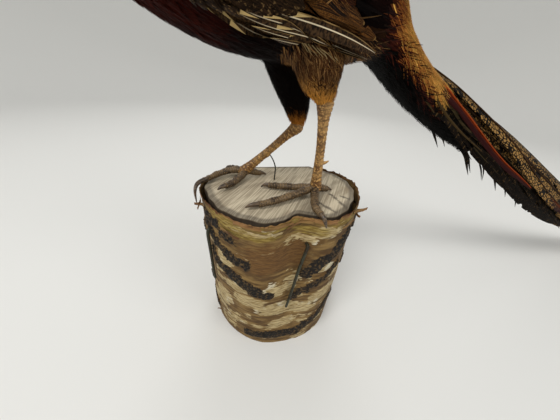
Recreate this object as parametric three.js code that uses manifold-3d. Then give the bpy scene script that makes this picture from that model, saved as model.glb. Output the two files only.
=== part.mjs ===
// A golden pheasant cock mounted on a length of birch log, life size.
// Millimetres, +Z up. The origin is the middle of the log's underside. The bird looks along -Y,
// its left side is towards +X, and the log's flat sawn back is towards -X.
import * as THREE from 'three';
import { mergeVertices } from 'three/addons/utils/BufferGeometryUtils.js';
import Module from 'manifold-3d';

const wasm = await Module();
wasm.setup();

// ---------------------------------------------------------------- driving dimensions
const GAP = 0.35;                 // clearance kept between neighbouring solids
const RING_POINTS = 18;           // points round a section of the body
const THIN_RING_POINTS = 8;       // points round a toe, shank or wire
const degrees = THREE.MathUtils.degToRad;

const LOG_HEIGHT = 170;
const LOG_RADIUS = 78;
const LOG_BACK_X = -39;           // the flat sawn back
const LOG_NARROWING = 0.16;       // share of the radius lost towards the back
const HOLLOW = { depth: 15, footShare: 0.1, at: degrees(3), spread: degrees(15) };
const LOG_STEPS = 48;             // points round the log
const BARK = { thickness: 3.2, backing: 0.9, lift: 1.2, relief: 0.7, levels: 4 };
const BARE_STEPS = 15;            // steps without bark at the sawn back
const GROOVE = { width: 2.2, depth: 12 };

const MIDLINE = 11;               // X of the bird's middle plane
const HOCK = { left: [31, 21, 245], right: [-9, 13.5, 221] };
const TOE_JOINT = { left: [31, 25, 178], right: [-9, -36, 178] };
const SHANK = { halfWidth: 3.4, halfDepth: 4.1, hock: 5.4, ankle: 4.9 };
const EYE = { radius: 4.8, out: 9.3, y: -139, z: 458.5 };

// Body sections across Y: [y, lowest z, highest z, half width]
const TRUNK = [
  [-122, 315, 337, 8],
  [-114, 303, 351, 22],
  [-99, 291.5, 364, 33],
  [-79, 281, 373, 41],
  [-50, 271, 378, 45.5],
  [-20, 267, 373, 46],
  [10, 266.5, 354, 44],
  [38, 270, 329, 37],
  [58, 274, 308, 28],
  [72, 274, 294, 19],
  [79, 274, 286, 10],
];
const HEAD = [
  [-156, 447.5, 455.5, 4],
  [-151, 443.5, 461.5, 8.6],
  [-143, 440, 467.5, 12.2],
  [-132, 438.5, 471, 14.2],
  [-120, 440, 470.5, 14.2],
  [-110, 444, 466, 11.5],
  [-104, 450, 460, 6.5],
];
const UPPER_BILL = [
  [-149, 450.6, 458.4, 5.4],
  [-158, 449.8, 457.2, 4.9],
  [-166, 448.4, 454.6, 3.8],
  [-172, 445.8, 451.2, 2.4],
  [-175.5, 443.6, 446.8, 0.9],
];
const LOWER_BILL = [
  [-149, 445.2, 450.1, 4.6],
  [-158, 444.9, 449.3, 4.1],
  [-166, 444.8, 447.9, 2.9],
  [-170, 444.9, 446.3, 1.4],
];
const RUMP = [
  [50, 277, 309, 24],
  [66, 269, 298, 24],
  [84, 257, 285, 22],
  [106, 243, 273, 18],
  [140, 226, 258, 13],
  [176, 211, 243, 7],
  [196, 204, 231, 3],
];

// Limbs: [x, y, z, half size across, half size along], in order along the limb
const NECK = [
  [MIDLINE, -66, 338, 32, 38],
  [MIDLINE, -84, 366, 28, 33],
  [MIDLINE, -98, 392, 22, 25],
  [MIDLINE, -109, 418, 17.5, 19],
  [MIDLINE, -117, 438, 14.5, 16],
  [MIDLINE, -121, 450, 12.5, 13.5],
];
const CAPE = [
  [MIDLINE, -108, 456, 14, 10],
  [MIDLINE, -101, 438, 20, 17],
  [MIDLINE, -90, 415, 29, 24],
  [MIDLINE, -72, 397, 37, 24],
  [MIDLINE, -50, 387, 39, 16],
  [MIDLINE, -28, 381, 31, 9],
  [MIDLINE, -12, 377, 16, 6],
];
const CREST = [
  [MIDLINE, -153, 461, 4, 2.5],
  [MIDLINE, -145, 469, 9, 4.5],
  [MIDLINE, -130, 476.5, 14, 7],
  [MIDLINE, -111, 477, 16, 8.5],
  [MIDLINE, -92, 467, 15, 8.5],
  [MIDLINE, -76, 452, 11, 7],
  [MIDLINE, -64, 437, 4.5, 3.5],
];
const THIGH = {
  left: [
    [35, 0, 300, 16, 25],
    [36, 7, 282, 15, 20],
    [34, 11.5, 267, 13, 15.5],
    [32.5, 15, 257, 9.5, 12],
    [31.5, 19.5, 248.5, 6.4, 7.6],
    [31, 21, 243, 5.6, 6],
  ],
  right: [
    [-13, -6, 300, 16, 26],
    [-12, -1, 280, 15, 21],
    [-10, 4, 262, 13, 17],
    [-9, 8.5, 248, 10.5, 13],
    [-9, 12, 236, 8, 9.8],
    [-9, 13.5, 225, 6.2, 7],
    [-9, 13.5, 219, 5.6, 6],
  ],
};
// Toes: the points that each toe's middle line passes, then its claw's points
const TOES = {
  left: {
    middle: { toe: [[30, 26, 179], [37, 8, 176.5], [44, -11, 175], [48.5, -28, 174]],
      claw: [[49, -33, 174], [49, -38, 172]] },
    inner: { toe: [[30, 25, 178.5], [24, 10, 175.5], [18, -6, 174.2], [15.5, -15, 174]],
      claw: [[15, -18, 174], [15, -22, 172.2]] },
    outer: { toe: [[31, 25, 178.5], [44, 20, 176], [57, 16.5, 174.8], [66, 18, 173.6]],
      claw: [[70.5, 19.5, 171.5], [72.5, 21.5, 165]] },
    hind: { toe: [[31, 26, 179], [28.5, 33, 176], [27, 38, 174.4]],
      claw: [[26.6, 40, 174], [26.2, 44, 172.2]] },
  },
  right: {
    middle: { toe: [[-9, -34, 179], [-12, -47, 178], [-10, -60, 175.5], [-1, -70, 174.3]],
      claw: [[6, -78, 173], [12, -80.5, 168], [14, -80.5, 157]] },
    inner: { toe: [[-9, -34, 178.5], [0, -40, 175.8], [9, -47, 174.4], [15, -54, 174]],
      claw: [[17, -57, 174], [19, -60.5, 172.2]] },
    outer: { toe: [[-9, -34, 178.5], [-18, -40, 176], [-25, -46, 174.6], [-28, -50, 174]],
      claw: [[-29, -52, 174], [-30, -55, 172.2]] },
    hind: { toe: [[-9, -34, 179], [-10.5, -25, 176], [-11.5, -19, 174.4]],
      claw: [[-12, -17, 174], [-12.5, -13, 172.2]] },
  },
};
const TOE = { root: 3.6, tip: 2.9, clawRoot: 1.9, clawTip: 0.5, lift: 0.35 };

// The folded wings lie on the trunk: [y, lower edge, upper edge, stand-off], edges in degrees
// round the trunk's section from its widest point
const WING = [
  [-94, -8, 12, 1],
  [-86, -22, 26, 4],
  [-70, -38, 37, 6.5],
  [-50, -48, 42, 7],
  [-24, -56, 44, 6.5],
  [4, -58, 42, 6],
  [30, -57, 36, 5],
  [48, -50, 22, 3.5],
  [62, -36, 4, 1.6],
];
const WING_STAND_OFF = 1.3;       // from the trunk to the wing's underside
const WING_EDGE = 0.9;            // thickness at the wing's edges
const FLIGHT_FEATHERS = [         // the bundle of primaries: offset from the midline, y, z, sizes
  [40.5, -6, 283, 8, 2.6],
  [40, 16, 281, 9, 2.8],
  [36, 38, 279.5, 8, 2.4],
  [31, 56, 277, 5.5, 1.7],
  [27, 68, 275, 2.4, 0.9],
];

// The tail is a steep roof of long overlapping blades under one ridge line
const RIDGE = [[60, 302], [84, 287.5], [120, 272], [182, 247.5], [267, 212.5], [394, 158.5],
  [540, 97], [640, 57], [706, 33]];
const ROOF = { steepest: degrees(77), rounding: 14, longestArc: 90 };
const ROOF_SCALE = [[80, 0.8], [150, 0.84], [300, 0.98], [420, 1.08], [500, 1.1], [706, 0.9]];
const BLADE = { thickness: 1.2, pitch: 2.3, tip: 0.7, rows: 9, columnWidth: 6.5 };
// Each blade: layer inward from the roof, arcs from the ridge at its root and at its widest, and
// the stretch of Y that it covers
const CENTRE_BLADES = [
  { name: 'tail_centre_left', layer: 0, root: [-7, 16], wide: [-8, 30], from: 92, to: 704 },
  { name: 'tail_centre_right', layer: 1, root: [-16, 7], wide: [-30, 6], from: 92, to: 690 },
];
const SIDE_BLADES = [
  { layer: 1, root: [10, 24], wide: [15, 42], from: 100, to: 640 },
  { layer: 2, root: [16, 28], wide: [25, 49], from: 100, to: 585 },
  { layer: 3, root: [20, 33], wide: [30, 54], from: 98, to: 520 },
  { layer: 4, root: [24, 36], wide: [33, 51], from: 96, to: 410 },
];
const SPEAR_BLADES = [
  { layer: -1, root: [3, 15], wide: [34, 50], from: 96, to: 420 },
  { layer: -1, root: [19, 31], wide: [54, 64], from: 100, to: 330 },
];

const WIRE = { radius: 1.5, standOff: 0.35 };
// The leg wires end outside the bark: [angle round the log in degrees, height]
const LEG_WIRES = {
  leg_wire_left: [[8.8, 143], [-1.8, 68]],
  leg_wire_right: [[-61, 143], [-62.3, 78]],
};
const LOOSE_WIRE = { radius: 0.7, points: [[-4, -6, 170.4], [-7, -5, 177], [-12, -5.5, 185],
  [-20, -10, 193]] };

// ---------------------------------------------------------------- materials
function finish(color, roughness, metalness = 0) {
  return new THREE.MeshStandardMaterial({ color, roughness, metalness });
}

const FINISHES = {
  wood: () => finish(0xc9bda9, 0.85),
  bark: () => finish(0xa98d63, 0.8),
  wire: () => finish(0x3d443a, 0.5, 0.6),
  crimson: () => finish(0x5a1a14, 0.6),
  gold: () => finish(0xc98a1e, 0.55),
  cape: () => finish(0xb8601c, 0.6),
  buff: () => finish(0xa8714a, 0.7),
  horn: () => finish(0xb59a5a, 0.45),
  eye: () => finish(0xd8b63a, 0.1),
  wing: () => finish(0x5b3f22, 0.65),
  thigh: () => finish(0x6d5134, 0.75),
  shank: () => finish(0xa1814a, 0.5),
  toe: () => finish(0x5c4c3a, 0.55),
  tail: () => finish(0x4a3820, 0.65),
  dark: () => finish(0x1f1712, 0.7),
  scarlet: () => finish(0xa5391c, 0.55),
};

// ---------------------------------------------------------------- geometry helpers
// Smooth values between the rows of a table whose first column rises or falls steadily.
function along(rows, at) {
  const rising = rows[rows.length - 1][0] > rows[0][0];
  const before = (row) => (rising ? row[0] <= at : row[0] >= at);
  let i = 0;
  while (i < rows.length - 2 && before(rows[i + 1])) i += 1;
  const [p0, p1, p2, p3] = [rows[Math.max(i - 1, 0)], rows[i], rows[i + 1],
    rows[Math.min(i + 2, rows.length - 1)]];
  const t = THREE.MathUtils.clamp((at - p1[0]) / (p2[0] - p1[0]), 0, 1);
  const span = p2[0] - p1[0];
  return p1.slice(1).map((_, k) => {
    const value = (row) => row[k + 1];
    const slopeIn = (value(p2) - value(p0)) / ((p2[0] - p0[0]) || 1) * span;
    const slopeOut = (value(p3) - value(p1)) / ((p3[0] - p1[0]) || 1) * span;
    const [t2, t3] = [t * t, t * t * t];
    return (2 * t3 - 3 * t2 + 1) * value(p1) + (t3 - 2 * t2 + t) * slopeIn
      + (3 * t2 - 2 * t3) * value(p2) + (t3 - t2) * slopeOut;
  });
}

function steps(from, to, count) {
  return Array.from({ length: count + 1 }, (_, i) => from + (to - from) * i / count);
}

// A closed geometry from points and faces, turned so that its faces point outwards.
function closedGeometry(points, faces) {
  let volume = 0;
  for (const [a, b, c] of faces) {
    volume += points[a].dot(new THREE.Vector3().crossVectors(points[b], points[c]));
  }
  const order = volume < 0 ? (f) => [f[0], f[2], f[1]] : (f) => f;
  const geometry = new THREE.BufferGeometry();
  const flat = points.flatMap((p) => [p.x, p.y, p.z]);
  geometry.setAttribute('position', new THREE.Float32BufferAttribute(flat, 3));
  geometry.setIndex(faces.flatMap(order));
  return geometry;
}

// A solid through rings of equal count, closed by a fan at each end.
function loft(rings) {
  const count = rings[0].length;
  const points = rings.flat();
  const faces = [];
  for (let i = 0; i < rings.length - 1; i += 1) {
    for (let j = 0; j < count; j += 1) {
      const [a, b] = [i * count + j, i * count + (j + 1) % count];
      faces.push([a, b, b + count], [a, b + count, a + count]);
    }
  }
  const capEnd = (ring, start, turned) => {
    const middle = new THREE.Vector3();
    ring.forEach((p) => middle.addScaledVector(p, 1 / count));
    points.push(middle);
    const hub = points.length - 1;
    for (let j = 0; j < count; j += 1) {
      const [a, b] = [start + j, start + (j + 1) % count];
      faces.push(turned ? [hub, b, a] : [hub, a, b]);
    }
  };
  capEnd(rings[0], 0, true);
  capEnd(rings[rings.length - 1], (rings.length - 1) * count, false);
  return closedGeometry(points, faces);
}

// A thin solid between two grids of points of the same size.
function plate(outer, inner) {
  const [rows, columns] = [outer.length, outer[0].length];
  const points = [...outer.flat(), ...inner.flat()];
  const under = rows * columns;
  const at = (i, j) => i * columns + j;
  const faces = [];
  const quad = (a, b, c, d) => faces.push([a, b, c], [a, c, d]);
  for (let i = 0; i < rows - 1; i += 1) {
    for (let j = 0; j < columns - 1; j += 1) {
      const corners = [at(i, j), at(i + 1, j), at(i + 1, j + 1), at(i, j + 1)];
      quad(...corners);
      quad(...corners.map((p) => p + under).reverse());
    }
  }
  const rim = (a, b) => quad(b, a, a + under, b + under);
  for (let i = 0; i < rows - 1; i += 1) {
    rim(at(i, 0), at(i + 1, 0));
    rim(at(i + 1, columns - 1), at(i, columns - 1));
  }
  for (let j = 0; j < columns - 1; j += 1) {
    rim(at(0, j + 1), at(0, j));
    rim(at(rows - 1, j), at(rows - 1, j + 1));
  }
  return closedGeometry(points, faces);
}

const SECTION_POWER = 2.2;        // 2 is an ellipse, more is squarer
const bulge = (value) => Math.sign(value) * Math.abs(value) ** (2 / SECTION_POWER);

// Point on a body section across Y; the angle starts at its widest point on the +X side.
function barrelPoint(rows, y, angle, grow = 0) {
  const [low, high, half] = along(rows, y);
  return new THREE.Vector3(
    MIDLINE + (half + grow) * bulge(Math.cos(angle)),
    y,
    (low + high) / 2 + ((high - low) / 2 + grow) * bulge(Math.sin(angle)),
  );
}

function barrel(rows, count, grow = 0) {
  const ends = [rows[0][0], rows[rows.length - 1][0]];
  const away = Math.sign(ends[1] - ends[0]) * grow;
  const rings = steps(ends[0], ends[1], count).map((y, i) => {
    const ring = steps(0, 2 * Math.PI, RING_POINTS).slice(0, -1)
      .map((angle) => barrelPoint(rows, y, angle, grow));
    const shift = i === 0 ? -away : (i === count ? away : 0);
    ring.forEach((p) => { p.y += shift; });
    return ring;
  });
  return loft(rings);
}

// A solid along a line of [x, y, z, half across, half along the reference] rows.
function limb(rows, reference, count, ringPoints, grow = 0) {
  const indexed = rows.map((row, i) => [i, ...row]);
  const last = rows.length - 1;
  const place = (t) => new THREE.Vector3(...along(indexed, t).slice(0, 3));
  const nudge = 0.02;
  const rings = steps(0, last, count).map((t) => {
    const heading = place(Math.min(t + nudge, last)).sub(place(Math.max(t - nudge, 0))).normalize();
    const across = new THREE.Vector3().crossVectors(heading, reference).normalize();
    const other = new THREE.Vector3().crossVectors(across, heading).normalize();
    const [, , , halfAcross, halfOther] = along(indexed, t);
    const centre = place(t).addScaledVector(heading, t === 0 ? -grow : (t === last ? grow : 0));
    return steps(0, 2 * Math.PI, ringPoints).slice(0, -1).map((angle) => centre.clone()
      .addScaledVector(across, (halfAcross + grow) * Math.cos(angle))
      .addScaledVector(other, (halfOther + grow) * Math.sin(angle)));
  });
  return loft(rings);
}

function toSolid(geometry) {
  const bare = geometry.clone();
  bare.deleteAttribute('normal');
  bare.deleteAttribute('uv');
  const merged = mergeVertices(bare, 1e-4);
  return new wasm.Manifold(new wasm.Mesh({
    numProp: 3,
    vertProperties: new Float32Array(merged.attributes.position.array),
    triVerts: new Uint32Array(merged.index.array),
  }));
}

function toGeometry(solid) {
  const mesh = solid.getMesh();
  const geometry = new THREE.BufferGeometry();
  geometry.setAttribute('position', new THREE.BufferAttribute(mesh.vertProperties, 3));
  geometry.setIndex(new THREE.BufferAttribute(mesh.triVerts, 1));
  return geometry;
}

// The largest piece of a geometry after its neighbours are cut away.
function without(geometry, ...neighbours) {
  let solid = toSolid(geometry);
  for (const neighbour of neighbours) solid = solid.subtract(toSolid(neighbour));
  const pieces = solid.decompose();
  pieces.sort((a, b) => b.volume() - a.volume());
  return toGeometry(pieces[0]);
}

function joined(geometries) {
  const solids = geometries.map(toSolid);
  return toGeometry(solids.reduce((sum, solid) => sum.add(solid)));
}

const pheasant = new THREE.Group();

function addNode(name, geometry, material) {
  const mesh = new THREE.Mesh(geometry, material);
  mesh.name = name;
  pheasant.add(mesh);
}

const UP = new THREE.Vector3(0, 0, 1);
const AHEAD = new THREE.Vector3(0, 1, 0);
const ASIDE = new THREE.Vector3(1, 0, 0);

// ---------------------------------------------------------------- log, bark and wires
function logRadius(angle, z) {
  const back = THREE.MathUtils.smoothstep(Math.abs(angle), degrees(85), degrees(125));
  const depth = HOLLOW.depth * THREE.MathUtils.lerp(HOLLOW.footShare, 1, z / LOG_HEIGHT);
  const dent = depth * Math.exp(-(((angle - HOLLOW.at) / HOLLOW.spread) ** 2));
  return LOG_RADIUS * (1 - LOG_NARROWING * back) - dent;
}

function logPoint(angle, inset, z) {
  const radius = logRadius(angle, z) - inset;
  return new THREE.Vector3(Math.max(radius * Math.cos(angle), LOG_BACK_X), radius * Math.sin(angle), z);
}

function logWood() {
  const inset = BARK.thickness + BARK.backing;
  const shoulder = LOG_HEIGHT - GROOVE.depth;
  const shaft = steps(0, LOG_HEIGHT, BARK.levels).slice(0, -1).map((z) => [z, inset]);
  const levels = [...shaft, [shoulder, inset], [shoulder + 1, inset + GROOVE.width],
    [LOG_HEIGHT, inset + GROOVE.width]];
  const angles = steps(-Math.PI, Math.PI, LOG_STEPS).slice(0, -1);
  return loft(levels.map(([z, in_]) => angles.map((angle) => logPoint(angle, in_, z))));
}

// The bark wraps the round of the log and stops short of the sawn back.
function logBark() {
  const heights = steps(0, LOG_HEIGHT, BARK.levels);
  const covered = LOG_STEPS - BARE_STEPS + 1;
  const end = Math.PI * covered / LOG_STEPS;
  const angles = steps(-end, end, covered);
  const relief = (angle, level) => BARK.relief * Math.sin(5 * angle + 2.3 * level)
    * Math.cos(9 * angle - 1.7 * level);
  const height = (z, angle) => z + z / LOG_HEIGHT * BARK.lift * Math.sin(7 * angle);
  const sheet = (inset, rough) => heights.map((z, level) => angles.map((angle) => {
    const point = logPoint(angle, inset - rough * relief(angle, level), z);
    point.z = height(z, angle);
    return point;
  }));
  return plate(sheet(BARK.relief, 1), sheet(BARK.thickness, 0));
}

function legWire(ends) {
  const rows = steps(0, 1, 6).map((t) => {
    const angle = degrees(THREE.MathUtils.lerp(ends[0][0], ends[1][0], t));
    const point = logPoint(angle, -WIRE.radius - WIRE.standOff, THREE.MathUtils.lerp(ends[0][1], ends[1][1], t));
    return [...point.toArray(), WIRE.radius, WIRE.radius];
  });
  return limb(rows, AHEAD, 6, THIN_RING_POINTS);
}

addNode('log_wood', logWood(), FINISHES.wood());
addNode('log_bark', logBark(), FINISHES.bark());
for (const [name, ends] of Object.entries(LEG_WIRES)) {
  addNode(name, legWire(ends), FINISHES.wire());
}
const looseRows = LOOSE_WIRE.points.map((p) => [...p, LOOSE_WIRE.radius, LOOSE_WIRE.radius]);
addNode('loose_wire', limb(looseRows, AHEAD, 8, 6), FINISHES.wire());

// ---------------------------------------------------------------- trunk, rump, neck and head
const trunk = (grow = 0) => barrel(TRUNK, 16, grow);
const rump = (grow = 0) => barrel(RUMP, 8, grow);
const head = (grow = 0) => barrel(HEAD, 10, grow);
const neck = (grow = 0) => limb(NECK, AHEAD, 8, RING_POINTS, grow);
const cape = (grow = 0) => limb(CAPE, AHEAD, 10, RING_POINTS, grow);
const crest = (grow = 0) => limb(CREST, UP, 9, 14, grow);
const upperBill = (grow = 0) => barrel(UPPER_BILL, 6, grow);

function eyeball(side, grow = 0) {
  const ball = new THREE.SphereGeometry(EYE.radius + grow, 12, 8);
  return ball.translate(MIDLINE + side * EYE.out, EYE.y, EYE.z);
}

addNode('trunk', trunk(), FINISHES.crimson());
addNode('rump', without(rump(), trunk(GAP)), FINISHES.gold());
addNode('head', without(head(), eyeball(1, GAP), eyeball(-1, GAP)), FINISHES.buff());
addNode('bill_upper', without(upperBill(), head(GAP)), FINISHES.horn());
addNode('bill_lower', without(barrel(LOWER_BILL, 5), head(GAP), upperBill(GAP)), FINISHES.horn());
addNode('eye_left', eyeball(1), FINISHES.eye());
addNode('eye_right', eyeball(-1), FINISHES.eye());
addNode('neck', without(neck(), trunk(GAP), head(GAP)), FINISHES.buff());
addNode('crest', without(crest(), head(GAP), neck(GAP)), FINISHES.gold());
addNode('cape', without(cape(), trunk(GAP), head(GAP), neck(GAP), crest(GAP)), FINISHES.cape());

// ---------------------------------------------------------------- wings
function wingSheet(side, grow = 0) {
  const across = 6;
  const stations = steps(WING[0][0], WING[WING.length - 1][0], 12);
  const mirrored = (angle) => (side > 0 ? angle : Math.PI - angle);
  const sheet = (standOff) => stations.map((y) => {
    const [low, high, thick] = along(WING, y);
    return steps(0, 1, across).map((t) => {
      const angle = degrees(THREE.MathUtils.lerp(low - grow, high + grow, t));
      const offset = standOff(Math.sin(Math.PI * t) ** 0.7 * thick);
      return barrelPoint(TRUNK, y, mirrored(angle), offset);
    });
  });
  const under = WING_STAND_OFF - grow;
  return plate(sheet((thick) => WING_STAND_OFF + WING_EDGE + thick + grow), sheet(() => under));
}

function flightFeathers(side, grow = 0) {
  const rows = FLIGHT_FEATHERS.map(([out, ...rest]) => [MIDLINE + side * out, ...rest]);
  return limb(rows, ASIDE, 8, THIN_RING_POINTS, grow);
}

for (const [word, side] of [['left', 1], ['right', -1]]) {
  addNode(`primaries_${word}`, without(flightFeathers(side), trunk(GAP)), FINISHES.dark());
  addNode(`wing_${word}`, without(wingSheet(side), flightFeathers(side, GAP), cape(GAP), rump(GAP)),
    FINISHES.wing());
}

// ---------------------------------------------------------------- legs and feet
function shank(word, grow = 0) {
  const [top, foot] = [new THREE.Vector3(...HOCK[word]), new THREE.Vector3(...TOE_JOINT[word])];
  const sizes = [[0, 0.9], [0.06, 1], [0.18, 0], [0.5, -0.12], [0.82, 0], [0.95, 0.8], [1, 0.5]];
  const rows = sizes.map(([t, swell]) => {
    const end = t < 0.5 ? SHANK.hock : SHANK.ankle;
    const size = (slim) => slim + (end - slim) * swell;
    return [...top.clone().lerp(foot, t).toArray(), size(SHANK.halfWidth), size(SHANK.halfDepth)];
  });
  return limb(rows, AHEAD, 12, 10, grow);
}

function foot(word) {
  const parts = [];
  for (const { toe, claw } of Object.values(TOES[word])) {
    const toeRows = toe.map((p, i) => {
      const size = THREE.MathUtils.lerp(TOE.root, TOE.tip, i / (toe.length - 1));
      return [p[0], p[1], p[2] + TOE.lift, size, size];
    });
    const clawPoints = [toe[toe.length - 1], ...claw];
    const clawRows = clawPoints.map((p, i) => {
      const size = THREE.MathUtils.lerp(TOE.clawRoot, TOE.clawTip, i / (clawPoints.length - 1));
      return [p[0], p[1], p[2] + TOE.lift, size, size];
    });
    parts.push(limb(toeRows, UP, 2 * (toe.length - 1), THIN_RING_POINTS));
    parts.push(limb(clawRows, UP, 4, 6));
  }
  return joined(parts);
}

for (const word of ['left', 'right']) {
  const side = word === 'left' ? 1 : -1;
  const thigh = limb(THIGH[word], AHEAD, 9, 14);
  const neighbours = [trunk(GAP), rump(GAP), wingSheet(side, GAP), flightFeathers(side, GAP)];
  addNode(`thigh_${word}`, without(thigh, ...neighbours, shank(word, GAP)), FINISHES.thigh());
  addNode(`shank_${word}`, shank(word), FINISHES.shank());
  addNode(`foot_${word}`, without(foot(word), shank(word, GAP)), FINISHES.toe());
}

// ---------------------------------------------------------------- tail
// Points and slopes down one side of the roof, a millimetre apart, starting at the ridge.
function roofProfile() {
  const profile = [];
  let [x, z] = [0, 0];
  for (let arc = 0; arc <= ROOF.longestArc; arc += 1) {
    const slope = ROOF.steepest * (1 - Math.exp(-arc / ROOF.rounding));
    profile.push([arc, x, z, slope]);
    x += Math.cos(slope);
    z -= Math.sin(slope);
  }
  return profile;
}

const ROOF_PROFILE = roofProfile();

function tailPoint(y, arc, depth) {
  const [scale] = along(ROOF_SCALE, y);
  const [ridge] = along(RIDGE, y);
  const [x, z, slope] = along(ROOF_PROFILE, Math.abs(arc));
  const side = Math.sign(arc);
  return new THREE.Vector3(
    MIDLINE + side * (x * scale - depth * Math.sin(slope)),
    y,
    ridge + z * scale - depth * Math.cos(slope),
  );
}

function blade({ layer, root, wide, from, to }, side) {
  const top = layer * BLADE.pitch;
  const rowsAt = steps(0, 1, BLADE.rows).map((t) => Math.sin(t * Math.PI / 2));
  const columns = Math.ceil((wide[1] - wide[0]) / BLADE.columnWidth);
  const sheet = (share) => rowsAt.map((t) => {
    const open = THREE.MathUtils.smoothstep(t, 0, 0.75);
    const taper = Math.sqrt(Math.max(1 - (t / 1.002) ** 6, 0)) + 0.03;
    const edges = [0, 1].map((k) => THREE.MathUtils.lerp(root[k], wide[k], open));
    const [middle, half] = [(edges[0] + edges[1]) / 2, (edges[1] - edges[0]) / 2 * taper];
    const thickness = THREE.MathUtils.lerp(BLADE.thickness, BLADE.tip, t);
    return steps(-1, 1, columns).map((s) => tailPoint(
      THREE.MathUtils.lerp(from, to, t), side * (middle + half * s), top + share * thickness));
  });
  return plate(sheet(0), sheet(1));
}

function addBlade(name, shape, side, material) {
  addNode(name, without(blade(shape, side), rump(GAP), trunk(GAP)), material);
}

for (const shape of CENTRE_BLADES) addBlade(shape.name, shape, 1, FINISHES.tail());
for (const [word, side] of [['left', 1], ['right', -1]]) {
  const deeper = side > 0 ? 0 : 1;
  SIDE_BLADES.forEach((shape, i) => {
    addBlade(`tail_${word}_${i + 1}`, { ...shape, layer: shape.layer + deeper }, side, FINISHES.dark());
  });
  SPEAR_BLADES.forEach((shape, i) => {
    addBlade(`spear_${word}_${i + 1}`, shape, side, FINISHES.scarlet());
  });
}

export default pheasant;
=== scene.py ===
"""Golden pheasant cock on a birch log: skin, feathers, legs, bark, light and camera.

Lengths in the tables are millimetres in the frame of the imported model; meshes are made in metres.
The bird looks along -Y, its left side is towards +X, and the log stands on z = 0.
"""
import math
import bpy
import bmesh
import numpy as np
from mathutils import Matrix, Vector
from mathutils.bvhtree import BVHTree


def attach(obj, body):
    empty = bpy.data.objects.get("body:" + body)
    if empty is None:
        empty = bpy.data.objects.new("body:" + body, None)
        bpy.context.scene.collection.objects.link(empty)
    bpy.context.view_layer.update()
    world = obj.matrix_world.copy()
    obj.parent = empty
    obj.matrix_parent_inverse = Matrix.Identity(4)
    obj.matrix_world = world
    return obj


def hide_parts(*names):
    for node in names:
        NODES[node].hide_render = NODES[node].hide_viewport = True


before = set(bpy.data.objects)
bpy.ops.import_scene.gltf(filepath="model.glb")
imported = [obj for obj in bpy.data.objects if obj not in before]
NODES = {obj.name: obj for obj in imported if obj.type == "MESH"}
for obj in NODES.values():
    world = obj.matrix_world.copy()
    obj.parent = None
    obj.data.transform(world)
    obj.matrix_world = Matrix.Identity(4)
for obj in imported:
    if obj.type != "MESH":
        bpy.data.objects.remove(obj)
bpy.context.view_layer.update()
MM = 0.001
SAME_SPOT = 1e-6
rng = np.random.default_rng(20)

# ------------------------------------------------------------------ shared sizes
MIDLINE = 11.0
LOG = dict(height=170.0, radius=78.0, back=-39.0, narrowing=0.16, hollow=15.0, foot_share=0.1,
           hollow_at=math.radians(3), hollow_spread=math.radians(15), bare=math.radians(127))
RIDGE = [(60, 302), (84, 287.5), (120, 272), (182, 247.5), (267, 212.5), (394, 158.5), (540, 97),
         (640, 57), (706, 33)]
ROOF_SCALE = [(80, 0.8), (150, 0.84), (300, 0.98), (420, 1.08), (500, 1.1), (706, 0.9)]
ROOF_STEEPEST, ROOF_ROUNDING = math.radians(77), 14.0


def srgb(r, g, b):
    """An sRGB colour of 0 to 255 as the linear numbers that shaders take."""
    def linear(c):
        c = c / 255
        return c / 12.92 if c <= 0.04045 else ((c + 0.055) / 1.055) ** 2.4
    return (linear(r), linear(g), linear(b), 1.0)


def unit(v):
    """Vectors brought to length 1."""
    return v / np.maximum(np.linalg.norm(v, axis=-1, keepdims=True), 1e-9)


def smoothstep(a, b, x):
    """A soft step from 0 at a to 1 at b, which may be the lesser one."""
    t = np.clip((x - a) / (b - a), 0, 1)
    return t * t * (3 - 2 * t)


def along(rows, at):
    """Smooth values between the rows of a table whose first column rises."""
    table = np.array(rows, float)
    xs, ys = table[:, 0], table[:, 1:]
    at = np.asarray(at, float)
    i = np.clip(np.searchsorted(xs, at) - 1, 0, len(xs) - 2)
    slope = np.gradient(ys, xs, axis=0)
    span = (xs[i + 1] - xs[i])[..., None]
    t = np.clip((at - xs[i]) / (xs[i + 1] - xs[i]), 0, 1)[..., None]
    first, leaving = 2 * t**3 - 3 * t**2 + 1, t**3 - 2 * t**2 + t
    last, arriving = -2 * t**3 + 3 * t**2, t**3 - t**2
    return first * ys[i] + leaving * span * slope[i] + last * ys[i + 1] + arriving * span * slope[i + 1]


def speckle(points, seed):
    """Smooth random values from -1 to 1 on a unit lattice."""
    points = np.asarray(points, float)
    cell = np.floor(points).astype(np.int64)
    f = points - cell
    f = f * f * (3 - 2 * f)
    total = 0
    for dx in (0, 1):
        for dy in (0, 1):
            for dz in (0, 1):
                n = ((cell[..., 0] + dx) * 374761393 + (cell[..., 1] + dy) * 668265263
                     + (cell[..., 2] + dz) * 1442695041 + seed * 974711) & 0xFFFFFFFF
                n = ((n ^ (n >> 13)) * 1274126177) & 0xFFFFFFFF
                value = ((n ^ (n >> 16)) & 0xFFFF) / 32768 - 1
                weight = (f[..., 0] if dx else 1 - f[..., 0]) * (f[..., 1] if dy else 1 - f[..., 1])
                total = total + value * weight * (f[..., 2] if dz else 1 - f[..., 2])
    return total


def rough(points, octaves, seed):
    """Speckle at several sizes, each half as large and half as strong as the one before."""
    return sum(speckle(np.asarray(points) * 2**k, seed + k) / 2**k for k in range(octaves)) / 1.6


# ------------------------------------------------------------------ meshes
def finish_piece(obj, material, replaces=()):
    """Gives a piece its finish and its body, and hides the CAD nodes that it stands for."""
    obj.data.materials.clear()
    obj.data.materials.append(material)
    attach(obj, "root")
    if replaces:
        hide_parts(*replaces)
    return obj


def new_object(name, mesh):
    mesh.polygons.foreach_set("use_smooth", [True] * len(mesh.polygons))
    obj = bpy.data.objects.new(name, mesh)
    bpy.context.scene.collection.objects.link(obj)
    return obj


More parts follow.
